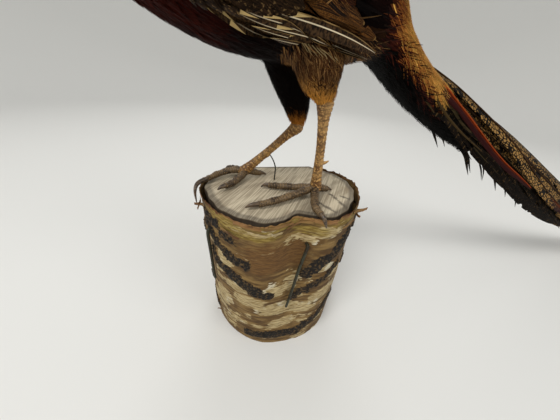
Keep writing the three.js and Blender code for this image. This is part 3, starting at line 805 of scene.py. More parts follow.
def plumage(p):
    """The coat's colour at each place on the body, with painted shade on the underside and the far thigh,
    before each feather's own variation.
    """
    angle = np.abs(outward(p))
    wobble = 0.28 * rough(p * 0.06, 3, 51)
    low = smoothstep(1.9, 2.6, angle + wobble)
    colour = even(CRIMSON, p)
    # Painted shade: darker red back from the breast's front, and earth brown on the underside towards the
    # belly
    colour = blend(smoothstep(-104, -48, p[:, 1] + 60 * wobble), colour, SHADED_RED)
    colour = blend(low * smoothstep(-70, 10, p[:, 1]) * 0.7, colour, EARTH_AND_SHADE)
    colour = blend(smoothstep(1.15, 0.85, angle + wobble) * smoothstep(-46, -36, p[:, 1]), colour, GREEN)
    ridge = 0.92 + 0.85 * smoothstep(5, 46, p[:, 1])
    wander = angle + 0.8 * wobble
    golden = blend(smoothstep(ridge - 0.24, ridge + 0.1, wander), even(GOLD, p), RUSTY_GOLD)
    golden = blend(smoothstep(ridge + 0.02, ridge + 0.34, wander), golden, MAROON)
    golden = blend(smoothstep(ridge + 0.26, ridge + 0.56, wander), golden, BLACK)
    golden = blend(smoothstep(106, 114, p[:, 1]), golden, BLACK)
    colour = blend(smoothstep(1.25, 0.9, angle + wobble) * smoothstep(-4, 8, p[:, 1]), colour, golden)
    colour = blend(smoothstep(18, 38, p[:, 1]), colour, golden)
    front = smoothstep(-96, -112, p[:, 1] + (p[:, 2] - 380) * 0.3 + 20 * wobble)
    colour = blend(neck_share(p), colour, blend(front, even(NECK_ORANGE, p), CHEEK))
    face = blend(smoothstep(458, 448, p[:, 2] + 10 * wobble), even(FACE_BUFF, p), CHEEK)
    colour = blend(head_share(p), colour, face)
    low = lowness(p)
    dark = smoothstep(0.05, 0.4, rough(p * (0.2, 0.2, 0.06), 2, 61)) * (1 - low)
    thigh = blend(dark, even(THIGH_BROWN, p), EARTH_AND_SHADE)
    thigh = blend(smoothstep(0.28, 0.85, low + 0.7 * wobble), thigh, THIGH_BUFF)
    # Painted shade on the far thigh, the right one: earth brown at its top and darker all over
    far = smoothstep(6, -4, p[:, 0] - MIDLINE + 20 * wobble)
    thigh = blend(far * smoothstep(0.75, 0.3, low + 0.5 * wobble), thigh, EARTH_AND_SHADE)
    thigh = blend(far, thigh, thigh * (0.62, 0.52, 0.44, 1))
    return blend(thigh_share(p), colour, thigh)


def lie(p):
    """The way that the coat lies at each place."""
    way = np.tile(np.array([0.0, 1.0, -0.24]), (len(p), 1))

    def toward(share, x, y, z):
        nonlocal way
        way = way + (np.array([x, y, z]) - way) * share[:, None]
    toward(smoothstep(-45, -120, p[:, 1]), 0, 0.62, -0.78)
    toward(rump_share(p), 0, 0.86, -0.5)
    toward(neck_share(p), 0, 0.42, -0.9)
    toward(head_share(p), 0, 0.95, -0.32)
    toward(thigh_share(p), 0, 0.3, -0.95)
    return way


def skin_unwrap(p):
    """A place for each root on a flat unwrap of the body: round it across, along it upwards."""
    angle = outward(p) / (2 * np.pi) + 0.5
    body = np.column_stack([0.02 + 0.62 * angle, 0.02 + 0.5 * (p[:, 1] + 125) / 330])
    forward = along(NECK_LINE, p[:, 2])[:, 0] - p[:, 1]
    around = np.arctan2(p[:, 0] - MIDLINE, forward) / (2 * np.pi) + 0.5
    upper = np.column_stack([0.02 + 0.62 * around, 0.56 + 0.4 * (p[:, 2] - 345) / 140])
    result = np.where(((p[:, 2] > 352) & (p[:, 1] < -52))[:, None], upper, body)
    for side, line in THIGH_LINES.items():
        middle = along(line, -p[:, 2])
        around = np.arctan2(p[:, 0] - middle[:, 0], p[:, 1] - middle[:, 1]) / (2 * np.pi) + 0.5
        here = (thigh_share(p) > 0.5) & ((p[:, 0] - MIDLINE) * side > 0)
        bottom = 0.04 if side > 0 else 0.52
        leg = np.column_stack([0.68 + 0.28 * around, bottom + 0.42 * (p[:, 2] - 215) / 80])
        result = np.where(here[:, None], leg, result)
    return np.clip(result, 0.005, 0.99)


# ------------------------------------------------------------------ vanes
# The share of the OFBake map's width that one small feather takes
PATCH = 0.003


# Shapes of vanes: the share of the full half width at each share of the length
def contour(t):
    return np.clip(0.42 + 1.5 * t, 0, 1) * np.sqrt(np.clip(1 - t**5, 0.0, 1)) * 0.98 + 0.02


def strand(t):
    return 1 - 0.8 * t**1.6


def squared(t):
    corner = np.sqrt(np.clip(1 - ((t - 0.9) / 0.115)**2, 0, 1))
    return np.clip(0.35 + 1.6 * t, 0, 1) * np.where(t > 0.9, corner, 1)


def pointed(t):
    return np.clip(0.5 + 2.0 * t, 0, 1) * np.sqrt(np.clip(1 - np.clip((t - 0.55) / 0.452, 0, 1)**2.4, 0, 1))


def scallop(t):
    return np.clip(0.5 + 1.4 * t, 0, 1) * np.sqrt(np.clip(1 - np.clip((t - 0.5) / 0.51, 0, 1)**2.2, 0.0, 1))


def vane_mesh(name, centres, sides, normals, half_widths, columns, tone, patches, camber):
    """Many thin vanes as one mesh.

    centres, sides and normals are (rows + 1, count, 3), and half_widths is (rows + 1, count). patches
    holds the middle of each vane on the OFBake map, and its size there where that isn't PATCH."""
    rows, count = centres.shape[0] - 1, centres.shape[1]
    across = np.linspace(-1, 1, columns + 1)
    spots = np.empty((rows + 1, columns + 1, count, 3))
    for c, share in enumerate(across):
        spots[:, c] = centres + sides * (half_widths * share)[..., None]
        spots[:, c] -= normals * (camber * half_widths * share**2)[..., None]
    corners = spots.transpose(2, 0, 1, 3).reshape(-1, 3) * MM
    per = (rows + 1) * (columns + 1)
    r, c = np.meshgrid(np.arange(rows), np.arange(columns), indexing="ij")
    first = (r * (columns + 1) + c).ravel()
    quad = np.column_stack([first, first + 1, first + columns + 2, first + columns + 1])
    faces = (quad[None] + (np.arange(count) * per)[:, None, None]).reshape(-1, 4)
    mesh = bpy.data.meshes.new(name)
    mesh.vertices.add(len(corners))
    mesh.vertices.foreach_set("co", corners.ravel())
    mesh.loops.add(faces.size)
    mesh.loops.foreach_set("vertex_index", faces.ravel())
    mesh.polygons.add(len(faces))
    mesh.polygons.foreach_set("loop_start", np.arange(0, faces.size, 4))
    u = np.tile(np.tile(across, rows + 1), count) / 2 + 0.5
    v = np.tile(np.repeat(np.linspace(0, 1, rows + 1), columns + 1), count)
    vane = mesh.uv_layers.new(name="Vane")
    vane.data.foreach_set("uv", np.column_stack([u, v])[faces.ravel()].ravel())
    start = np.repeat(patches, per, axis=0)
    size = np.repeat(np.full(count, PATCH) if patches.shape[1] == 2 else patches[:, 2], per)
    spread = start[:, :2] + (np.column_stack([u, v]) - 0.5) * size[:, None]
    bake = mesh.uv_layers.new(name="OFBake")
    bake.data.foreach_set("uv", spread[faces.ravel()].ravel())
    paint = mesh.color_attributes.new("Tone", "FLOAT_COLOR", "POINT")
    paint.data.foreach_set("color", np.repeat(tone, per, axis=0).ravel())
    mesh.update(calc_edges=True)
    mesh.validate()
    return new_object(name, mesh)


def turned(way, normal, angle):
    """Directions on a surface turned about its normal."""
    flat = unit(way - normal * (way * normal).sum(1)[:, None])
    aside = np.cross(normal, flat)
    return flat * np.cos(angle)[:, None] + aside * np.sin(angle)[:, None]


def lay(name, roots, length, width, slot, material, replaces=(), *, rise, rows=4, columns=2, shape=contour,
        sink=-2.6, loose=0.0, spread=0.16, camber=0.16, cover=BODY, tone=None, way=lie, vary=0.25,
        unwrap=skin_unwrap, sweep=0.0):
    """Feathers whose roots lie on a surface and whose vanes follow it along the lie of the coat.

    sink and rise are the height of root and tip over the surface, loose is how far the tip leaves it,
    spread is how far they turn from the lie at random, and sweep is how soon they turn back to it."""
    count = len(roots)
    length = np.broadcast_to(length, count) * rng.uniform(0.82, 1.18, count)
    width = np.broadcast_to(width, count) * rng.uniform(0.85, 1.15, count)
    place, normal = cover.snap(np.array(roots, float))
    tone = plumage(place) if tone is None else tone
    shades = np.column_stack([np.repeat(rng.uniform(1 - vary, 1 + vary, count)[:, None], 3, axis=1),
                              np.ones(count)])
    patches = unwrap(place)
    heading = turned(way(place), normal, rng.normal(0, spread, count))
    lift = rng.uniform(-0.35, 0.35, count)
    centres, sides, normals, halves = [], [], [], []
    for row in range(rows + 1):
        t = row / rows
        height = sink + (rise - sink + lift) * t**0.8
        centres.append(place + normal * height[:, None])
        sides.append(np.cross(heading, normal))
        normals.append(normal)
        halves.append(width / 2 * shape(np.array(t)))
        ahead = place + heading * (length / rows)[:, None]
        snapped, next_normal = cover.snap(ahead)
        free = loose * t
        place = snapped * (1 - free) + ahead * free
        normal = unit(next_normal * (1 - free) + normal * free)
        fresh = way(place)
        heading = unit(heading * (1 - sweep) + unit(fresh) * sweep)
        heading = unit(heading - normal * (heading * normal).sum(1)[:, None] * (1 - free))
    obj = vane_mesh(name, np.array(centres), np.array(sides), np.array(normals), np.array(halves), columns,
                    tone * shades, patches, camber)
    return finish_piece(obj, material, replaces)


def hairs(name, roots, length, width, slot, replaces=(), **how):
    """Single loose strands, laid as feathers are."""
    return lay(name, roots, length, width, slot, FINISHES["hair_feather"], replaces, columns=1, shape=strand,
               **how)


def spots_where(test, keep=1.0, each=1, jitter=1.3):
    """Places spread evenly over part of the body."""
    chosen = FACE_SPOTS[test(FACE_SPOTS)]
    chosen = np.repeat(chosen, each, axis=0)
    chosen = chosen[rng.random(len(chosen)) < keep]
    return chosen + rng.uniform(-jitter, jitter, chosen.shape)


# ------------------------------------------------------------------ finishes of the coat
# Depth in metres and strength of the bumps on body feathers, on long vanes and on down
COAT_BUMP, VANE_BUMP, DOWN_BUMP = (0.0004, 0.5), (0.0003, 0.5), (0.0006, 0.8)
BARB_DEPTH = 0.6


def feather_paint(name, streaks, base_dark, roughness=0.7, gloss=0.02):
    """Plain feathers: each has its own tone, darker down at its base, in fine barbs."""
    paint = Paint(name, roughness, Specular_IOR_Level=gloss)
    _, v, uv = paint.uv("Vane")
    tone = paint.colour("Tone")
    barbs = paint.noise(1.0, 2.0, paint.scaled(uv, streaks, 1.6, 1))
    wide = paint.noise(70.0, 2.0)
    shade = paint.plus(paint.times(paint.between(0.35, 0.65, barbs), BARB_DEPTH),
                       1 - BARB_DEPTH * 0.55)
    shade = paint.times(shade, paint.plus(paint.times(wide, 0.5), 0.75))
    root = paint.plus(paint.times(paint.between(0.0, 0.75, v), base_dark), 1 - base_dark)
    shade = paint.times(shade, root)
    grey = paint.node("ShaderNodeCombineColor")
    for socket in grey.inputs:
        paint.put(socket, shade)
    return paint.done(paint.mix(1.0, tone, grey.outputs[0], "MULTIPLY"), barbs, *COAT_BUMP)


def skin_paint():
    paint = Paint("bird_skin", 0.8, Specular_IOR_Level=0.05)
    # Dark flecks, and the tone once more over half, as painted shade under the coat
    fine = paint.noise(400, 3)
    colour = paint.two_tone(fine, srgb(20, 14, 10), paint.colour("Tone"), 0.3, 0.7)
    return paint.done(paint.mix(0.5, colour, paint.colour("Tone"), "MULTIPLY"), fine, *COAT_BUMP)


def skin():
    """A skin under the coat, darker than the coat as painted shade between the feathers, sunk below the
    body's surface so that the feathers hide it.
    """
    mesh = flesh_mesh.copy()
    mesh.name = "skin"
    corners = np.empty(len(mesh.vertices) * 3)
    normals = np.empty(len(mesh.vertices) * 3)
    mesh.vertices.foreach_get("co", corners)
    mesh.vertices.foreach_get("normal", normals)
    p, n = corners.reshape(-1, 3) / MM, normals.reshape(-1, 3)
    depth = 2.9 - 2.1 * head_share(p)
    low_leg = smoothstep(262, 236, p[:, 2]) * (thigh_share(p) > 0)
    depth = depth * (1 - 0.75 * low_leg) + 5.5 * smoothstep(96, 150, p[:, 1])
    mesh.vertices.foreach_set("co", ((p - n * depth[:, None]) * MM).ravel())
    tone = mesh.color_attributes.new("Tone", "FLOAT_COLOR", "POINT")
    # The coat's colours at 0.6: painted shade where the skin shows between feathers
    tone.data.foreach_set("color", (plumage(p) * (0.6, 0.6, 0.6, 1)).ravel())
    mesh.update()
    obj = new_object("skin", mesh)
    return finish_piece(obj, skin_paint(), FLESH)


# ------------------------------------------------------------------ body coat
def in_wing(p):
    """Places that a folded wing hides."""
    angle = np.degrees(np.abs(outward(p)))
    return (angle > 56) & (angle < 128) & (p[:, 1] > -74) & (p[:, 1] < 22)


def body_coat():
    """Feathers and finer hairs over breast, neck, face and thighs."""
    silky = feather_paint("body_feather", streaks=7.0, base_dark=0.6)
    hair = feather_paint("hair_feather", streaks=3.0, base_dark=0.2, roughness=0.6, gloss=0.04)

    def torso(p):
        return (head_share(p) < 0.5) & (neck_share(p) < 0.5) & (thigh_share(p) < 0.35) & (p[:, 1] < 62)
    roots = spots_where(lambda p: torso(p) & ~in_wing(p), keep=0.8)
    front = smoothstep(-60, -110, roots[:, 1])
    lay("breast_feathers", roots, 25 - 7 * front, 6.2 - 1.4 * front, "crimson_feathers", silky, rows=5,
        rise=0.6, sweep=0.3)
    roots = spots_where(lambda p: torso(p) & ~in_wing(p), keep=0.42)
    hairs("breast_hairs", roots, 21, 1.7, "crimson_feathers", sink=-1.6, rise=0.9, loose=0.15, spread=0.3,
          sweep=0.3, vary=0.4)
    roots = spots_where(lambda p: (neck_share(p) >= 0.5) & (head_share(p) < 0.5), keep=0.9)
    lay("neck_feathers", roots, 15, 3.8, "face_feathers", silky, sink=-2.2, rise=0.3)
    roots = spots_where(lambda p: (neck_share(p) >= 0.4) & (head_share(p) < 0.5), each=2, jitter=1.8)
    hairs("neck_hairs", roots, 15, 1.3, "face_feathers", sink=-1.4, rise=0.8, loose=0.1, spread=0.2,
          vary=0.35)
    roots = spots_where(lambda p: (head_share(p) >= 0.5) & ~near_eye(p), each=5, jitter=1.6)
    lay("face_feathers", roots, 4.6, 1.9, "face_feathers", hair, rows=3, columns=1, sink=-0.7, rise=0.25,
        spread=0.25)
    roots = spots_where(lambda p: thigh_share(p) >= 0.3, each=3)
    low = lowness(roots)
    lay("thigh_feathers", roots, 17 - 11.5 * low, 3.6 - 2.2 * low, "thigh_feathers", silky, sink=-1.6,
        rise=0.7, loose=0.3, spread=0.2, sweep=0.3, vary=0.45)
    roots = spots_where(lambda p: (thigh_share(p) >= 0.3) & (lowness(p) < 0.85), each=4)
    low = lowness(roots)
    # Pale buff hairs on the near thigh only, so that the far thigh keeps its painted shade
    pale = smoothstep(0.5, 0.95, rng.random(len(roots))) * 0.55
    tone = blend(pale * (roots[:, 0] > MIDLINE), plumage(roots), srgb(176, 132, 80))
    hairs("thigh_hairs", roots, 21 - 14 * low, 0.9 - 0.3 * low, "thigh_feathers", sink=-1.0, rise=1.6,
          loose=0.6, spread=0.36, vary=0.5, tone=tone)


def near_eye(p):
    return np.hypot(p[:, 1] - EYE["y"], p[:, 2] - EYE["z"]) < EYE["clearing"]


def rump_coat():
    """Golden feathers over the rump, finer strands fringing them, and dark hairs underneath."""
    soft = feather_paint("rump_feather", streaks=7.0, base_dark=0.15)

    def behind(p):
        return (thigh_share(p) < 0.3) & ~in_wing(p)
    roots = spots_where(lambda p: behind(p) & (p[:, 1] > 24)
                        & ((p[:, 1] < 92) | (np.abs(outward(p)) > 1.9)) & (p[:, 1] < 168))
    lay("rump_feathers", roots, 26, 4.6, "golden_feathers", soft, rows=5, rise=0.4, sweep=0.2)

    def fringed(p):
        reach = 104 - 34 * smoothstep(1.2, 1.7, np.abs(outward(p)))
        return behind(p) & (p[:, 1] > 0) & (p[:, 1] < reach) & (
            np.abs(outward(p)) < 0.95 + 0.95 * smoothstep(5, 46, p[:, 1]))
    roots = spots_where(fringed, each=11, jitter=3.0)
    redder = smoothstep(0.45, 0.9, rng.random((len(roots), 1)))
    tone = plumage(roots) * (1 - redder * (0.06, 0.3, 0.42, 0)) * rng.uniform(0.7, 1.4, (len(roots), 1))
    hairs("rump_hairs", roots, 32, 0.55, "golden_feathers", sink=-1.2, rise=1.4, loose=0.12, spread=0.12,
          vary=0.5, tone=tone)
    roots = spots_where(lambda p: behind(p) & (p[:, 1] > 30) & (np.abs(outward(p)) > 2.0), keep=0.8)
    hairs("vent_hairs", roots, 24, 1.2, "golden_feathers", sink=-1.4, rise=1.8, loose=0.4, spread=0.3,
          vary=0.5)


# ------------------------------------------------------------------ crest and cape
CREST_LINE = [(-153, 461), (-145, 469), (-130, 476.5), (-111, 477), (-92, 467), (-76, 452), (-64, 437)]
CAPE_LINE = [(-108, 456), (-101, 438), (-90, 415), (-72, 397), (-50, 387), (-28, 381), (-12, 377)]


def surface_unwrap(line):
    """An unwrap round a form whose middle line is given as rows of (y, z)."""
    low, high = line[0][0] - 12, line[-1][0] + 12

    def place(p):
        middle = along(line, np.clip(p[:, 1], line[0][0], line[-1][0]))[:, 0]
        angle = np.arctan2(p[:, 0] - MIDLINE, p[:, 2] - middle) / (2 * np.pi) + 0.5
        return np.clip(np.column_stack([0.02 + 0.96 * angle, (p[:, 1] - low) / (high - low)]), 0.01, 0.99)
    return place


def shell_spots(mesh, each):
    """Random places spread over a mesh by area."""
    mesh.calc_loop_triangles()
    corners = np.array([[mesh.vertices[i].co / MM for i in t.vertices] for t in mesh.loop_triangles])
    area = np.linalg.norm(np.cross(corners[:, 1] - corners[:, 0], corners[:, 2] - corners[:, 0]), axis=1) / 2
    count = int(area.sum() * each)
    picked = corners[rng.choice(len(corners), count, p=area / area.sum())]
    a, b = rng.random((2, count, 1))
    a, b = np.where(a + b > 1, 1 - a, a), np.where(a + b > 1, 1 - b, b)
    return picked[:, 0] + (picked[:, 1] - picked[:, 0]) * a + (picked[:, 2] - picked[:, 0]) * b


def crest():
    """Long silky hairs that lie back over the crown, on a downy core."""
    mesh = merged_copy(["crest"])
    cover = Cover([mesh])
    roots = shell_spots(mesh, 0.16)
    roots = roots[(roots[:, 1] < -84) & (roots[:, 2] > 458)]

    def way(p):
        pull = np.column_stack([-(p[:, 0] - MIDLINE) * 0.012, np.ones(len(p)), np.zeros(len(p))])
        pull[:, 2] = -smoothstep(-125, -80, p[:, 1]) * 1.0 + smoothstep(-140, -156, p[:, 1]) * 0.6
        return pull
    tone = blend(rng.random(len(roots)) * 0.5, even(srgb(214, 150, 48), roots), srgb(236, 186, 84))
    hairs("crest_hairs", roots, 46, 1.5, "golden_feathers", ["crest"], rows=7, sink=-2.4, rise=0.5,
          loose=0.12, spread=0.12, cover=cover, tone=tone, way=way, vary=0.2,
          unwrap=surface_unwrap(CREST_LINE), sweep=0.5)
    inner = pillow("crest_core", mesh, 1.4)
    paint = Paint("crest_down", 0.7)
    grain = paint.noise(1.0, 3.0, paint.scaled(paint.place, 500, 60, 500))
    down = paint.done(paint.mix(grain, srgb(120, 74, 22), srgb(176, 118, 40)), grain, *DOWN_BUMP)
    finish_piece(inner, down)


def pillow(name, mesh, depth):
    """A closed core inside a form, which its feathers lie on."""
    bm = bmesh.new()
    bm.from_mesh(mesh)
    bmesh.ops.remove_doubles(bm, verts=bm.verts, dist=SAME_SPOT)
    bmesh.ops.subdivide_edges(bm, edges=bm.edges, cuts=1, use_grid_fill=True)
    for _ in range(4):
        bmesh.ops.smooth_vert(bm, verts=bm.verts, factor=0.5, use_axis_x=True, use_axis_y=True,
                              use_axis_z=True)
    bmesh.ops.recalc_face_normals(bm, faces=bm.faces)
    bm.normal_update()
    for vert in bm.verts:
        vert.co -= vert.normal * depth * MM
    made = bpy.data.meshes.new(name)
    bm.to_mesh(made)
    bm.free()
    return new_object(name, made)


def cape_paint():
    """Square orange feathers, each crossed by two blue-black bars near its tip."""
    paint = Paint("cape_feather", 0.5, Specular_IOR_Level=0.2)
    u, v, uv = paint.uv("Vane")
    barbs = paint.noise(1.0, 2.0, paint.scaled(uv, 16, 2.0, 1))
    orange = paint.two_tone(barbs, srgb(164, 72, 18), srgb(206, 112, 38))
    orange = paint.two_tone(v, orange, srgb(120, 60, 24), 0.45, 0.1)
    ragged = paint.plus(v, paint.times(barbs, 0.05))
    bend = paint.times(paint.math("POWER", paint.apart(u, 0.5), 2), 0.25)
    level = paint.plus(ragged, bend)
    first = paint.times(paint.between(0.70, 0.715, level), paint.between(0.79, 0.775, level))
    last = paint.between(0.945, 0.96, level)
    bars = paint.math("MAXIMUM", first, last)
    return paint.done(paint.mix(bars, paint.toned(orange), srgb(14, 18, 38)), barbs, *COAT_BUMP)


CAPE_RINGS, CAPE_SPREAD = 15, math.radians(112)


def cape():
    """Rings of broad square feathers round the neck, each ring set between those of the last."""
    mesh = merged_copy(["cape"])
    cover = Cover([mesh])
    core = pillow("cape_core", mesh, 2.2)
    paint = Paint("cape_down", 0.8)
    grain = paint.noise(300, 3)
    down = paint.done(paint.mix(grain, srgb(70, 34, 14), srgb(132, 66, 24)), grain, *DOWN_BUMP)
    finish_piece(core, down)
    roots = []
    shares = np.linspace(0.0, 1.0, CAPE_RINGS)
    for k, (y, z) in enumerate(curve_points(CAPE_LINE[:-1], CAPE_RINGS)):
        girth = np.interp(shares[k], [0, 0.2, 0.45, 0.75, 1.0], [18, 32, 42, 42, 30])
        count = int(girth * 2.5 / 6.5)
        for j in range(count):
            angle = ((j + 0.5 * (k % 2)) / (count - 1) * 2 - 1) * CAPE_SPREAD
            out, up = girth * math.sin(angle), girth * math.cos(angle)
            roots.append((MIDLINE + out, y + 0.55 * up + rng.uniform(-1, 1), z + 0.8 * up))
    roots = np.array(roots)

    def way(p):
        pull = np.column_stack([(p[:, 0] - MIDLINE) * 0.006, np.ones(len(p)), -np.ones(len(p))])
        pull[:, 1] = 0.35 + 0.65 * smoothstep(-100, -50, p[:, 1])
        pull[:, 2] = -1.0 + 0.7 * smoothstep(-90, -40, p[:, 1])
        return pull
    tone = np.ones((len(roots), 4))
    lay("cape_feathers", roots, 21, 12, "cape_feathers", cape_paint(), ["cape"], rows=9, columns=4,
        shape=squared, sink=-1.8, rise=0.9, spread=0.1, cover=cover, tone=tone, way=way, vary=0.12,
        unwrap=surface_unwrap(CAPE_LINE), sweep=0.3, camber=0.2)


# ------------------------------------------------------------------ wings
WING_COVERS = {side: Cover([merged_copy([f"wing_{word}", f"primaries_{word}", "trunk"])])
               for side, word in SIDE_NAME.items()}


def wing_unwrap(p):
    return np.clip(np.column_stack([(p[:, 1] + 100) / 190, (p[:, 2] - 262) / 105]), 0.01, 0.99)


LONG_CAMBER = 0.08


def fan(name, side, feathers, material, replaces=(), *, rows, columns=6, shape=contour, tone=None):
    """Long feathers laid on a wing: each has its line of points on the left wing, width and height."""
    cover = WING_COVERS[side]
    count = len(feathers)
    centres, widths = np.empty((rows + 1, count, 3)), np.empty((rows + 1, count))
    sides, normals = np.empty_like(centres), np.empty_like(centres)
    t = 1 - (1 - np.linspace(0, 1, rows + 1))**1.6
    for k, (line, width, height) in enumerate(feathers):
        line = np.array(line, float)
        line[:, 0] = MIDLINE + side * (line[:, 0] - MIDLINE)
        path = along(np.column_stack([np.linspace(0, 1, len(line)), line]), t)
        spots, normal = cover.snap(path)
        for _ in range(3):
            normal[1:-1] = unit(normal[:-2] + normal[1:-1] + normal[2:])
            spots[1:-1] = (spots[:-2] + spots[1:-1] + spots[2:]) / 3
        last = np.searchsorted(t, 0.8)
        spots[last:] = spots[last] + (path[last:] - path[last])
        normal[last:] = normal[last]
        heading = unit(np.gradient(spots, axis=0))
        centres[:, k] = spots + normal * (height * (0.25 + 0.75 * t))[:, None]
        sides[:, k] = unit(np.cross(heading, normal)) * -side
        normals[:, k] = normal
        widths[:, k] = width / 2 * shape(t)
    tone = np.ones((count, 4)) if tone is None else tone
    grid = int(np.ceil(np.sqrt(count)))
    patches = [((k % grid + 0.5) / grid, (k // grid + 0.5) / grid, 0.9 / grid) for k in range(count)]
    obj = vane_mesh(name, centres, sides, normals, widths, columns, tone, np.array(patches), LONG_CAMBER)
    return finish_piece(obj, material, replaces)


def flight_paint():
    """Near-black primaries with a pale shaft, a buff edge and buff wedges towards the root.

    low runs from 0 at the vane's lower edge, the side that the feather above it leaves bare."""
    paint = Paint("flight_feather", 0.5, Specular_IOR_Level=0.06)
    u, v, uv = paint.uv("Vane")
    parts = paint.node("ShaderNodeSeparateColor")
    paint.put(parts.inputs[0], paint.colour("Tone"))
    barbs = paint.noise(1.0, 2.0, paint.scaled(uv, 3, 90, 1))
    dark = paint.two_tone(barbs, srgb(24, 16, 10), srgb(74, 54, 34))
    low = paint.minus(1.0, u)
    run = paint.plus(paint.times(v, 6.5), parts.outputs["Blue"])
    phase = paint.math("FRACT", run)
    reach = paint.times(paint.minus(0.36, low), 1.5)
    wedge = paint.times(paint.math("LESS_THAN", phase, reach), paint.between(0.5, 0.42, v))
    colour = paint.mix(wedge, dark, srgb(200, 172, 116))
    edge = paint.times(paint.between(0.09, 0.05, low), paint.between(0.3, 0.45, v))
    colour = paint.mix(edge, colour, srgb(138, 110, 68))
    shaft = paint.between(0.05, 0.03, paint.apart(low, 0.38))
    shaft = paint.times(shaft, paint.between(0.12, 0.4, v))
    colour = paint.mix(shaft, colour, srgb(222, 206, 174))
    return paint.done(colour, barbs, *VANE_BUMP)


def secondary_paint():
    """Chestnut and buff secondaries with ragged dark streaks along them."""
    paint = Paint("secondary_feather", 0.6, Specular_IOR_Level=0.05)
    _, v, uv = paint.uv("Vane")
    streak = paint.noise(1.0, 4.0, paint.scaled(uv, 26, 3.4, 1), 0.35)
    barbs = paint.noise(1.0, 2.0, paint.scaled(uv, 5, 80, 1))
    warm = paint.two_tone(barbs, srgb(74, 44, 17), srgb(112, 74, 33))
    colour = paint.two_tone(streak, warm, srgb(16, 10, 6), 0.42, 0.56)
    colour = paint.mix(paint.times(paint.between(0.9, 0.97, v), 0.6), colour, srgb(150, 118, 70))
    return paint.done(paint.toned(colour), barbs, *VANE_BUMP)


def covert_paint():
    """Dark coverts with buff speckles towards their tips."""
    paint = Paint("covert_feather", 0.6, Specular_IOR_Level=0.04)
    _, v, uv = paint.uv("Vane")
    speck = paint.noise(1.0, 4.0, paint.scaled(paint.place, 900, 560, 900))
    barbs = paint.noise(1.0, 2.0, paint.scaled(uv, 10, 3, 1))
    dark = paint.two_tone(barbs, srgb(16, 10, 6), srgb(50, 34, 20))
    mark = paint.times(paint.between(0.55, 0.7, speck), paint.between(0.2, 0.6, v))
    colour = paint.mix(mark, dark, srgb(112, 88, 56))
    return paint.done(paint.toned(colour), barbs, *VANE_BUMP)


def glossy_paint(name, base, edge, at):
    """Broad feathers of one colour with a dark scalloped edge, which starts at a share of the length."""
    paint = Paint(name, 0.5, Specular_IOR_Level=0.15)
    u, v, uv = paint.uv("Vane")
    barbs = paint.noise(1.0, 2.0, paint.scaled(uv, 14, 3, 1))
    rim = paint.plus(v, paint.times(paint.math("POWER", paint.apart(u, 0.5), 2), 0.8))
    shade = paint.two_tone(barbs, [c * 0.6 for c in base[:3]] + [1], base)
    colour = paint.two_tone(rim, shade, edge, at, at + 0.06)
    return paint.done(paint.toned(colour), barbs, *VANE_BUMP)


# Lines of points along the lowest and the highest feather of each row on the left wing
PRIMARY_LINES = ([(46, -58, 287), (44, -43, 282.6), (42.5, -30, 277.6), (43, -8, 274.8), (45, 17, 270),
                  (46, 31, 269.4)],
                 [(54, -58, 292), (54, -43, 288.6), (54, -29, 285), (54, -6, 281.6), (52.5, 17, 277.8),
                  (48.5, 38, 274)])
SECONDARY_LINES = ([(55, -44, 295), (56, -17, 288.8), (54.5, 8, 285.2), (53, 22, 282.4), (50.5, 34, 280)],
                   [(57, -56, 318), (59, -28, 310), (58, -8, 305), (56, 8, 302), (53, 22, 299)])
TERTIAL_LINES = ([(57, -62, 316), (59, -36, 311), (57, -12, 306), (54, 8, 302)],
                 [(52, -60, 334), (54, -36, 330), (53, -14, 325), (50, 4, 320)])


PRIMARIES, SECONDARIES = 5, 12


def row_of(lines, count, width, height, step, uneven):
    """Feathers spread evenly between the two lines, each lying over the one below it."""
    low, high = (np.array(line, float) for line in lines)
    feathers = []
    for k in range(count):
        line = low + (high - low) * k / (count - 1)
        line[-1, 1:] += rng.uniform(-uneven, uneven, 2)
        feathers.append((line, width, height + step * k))
    return feathers


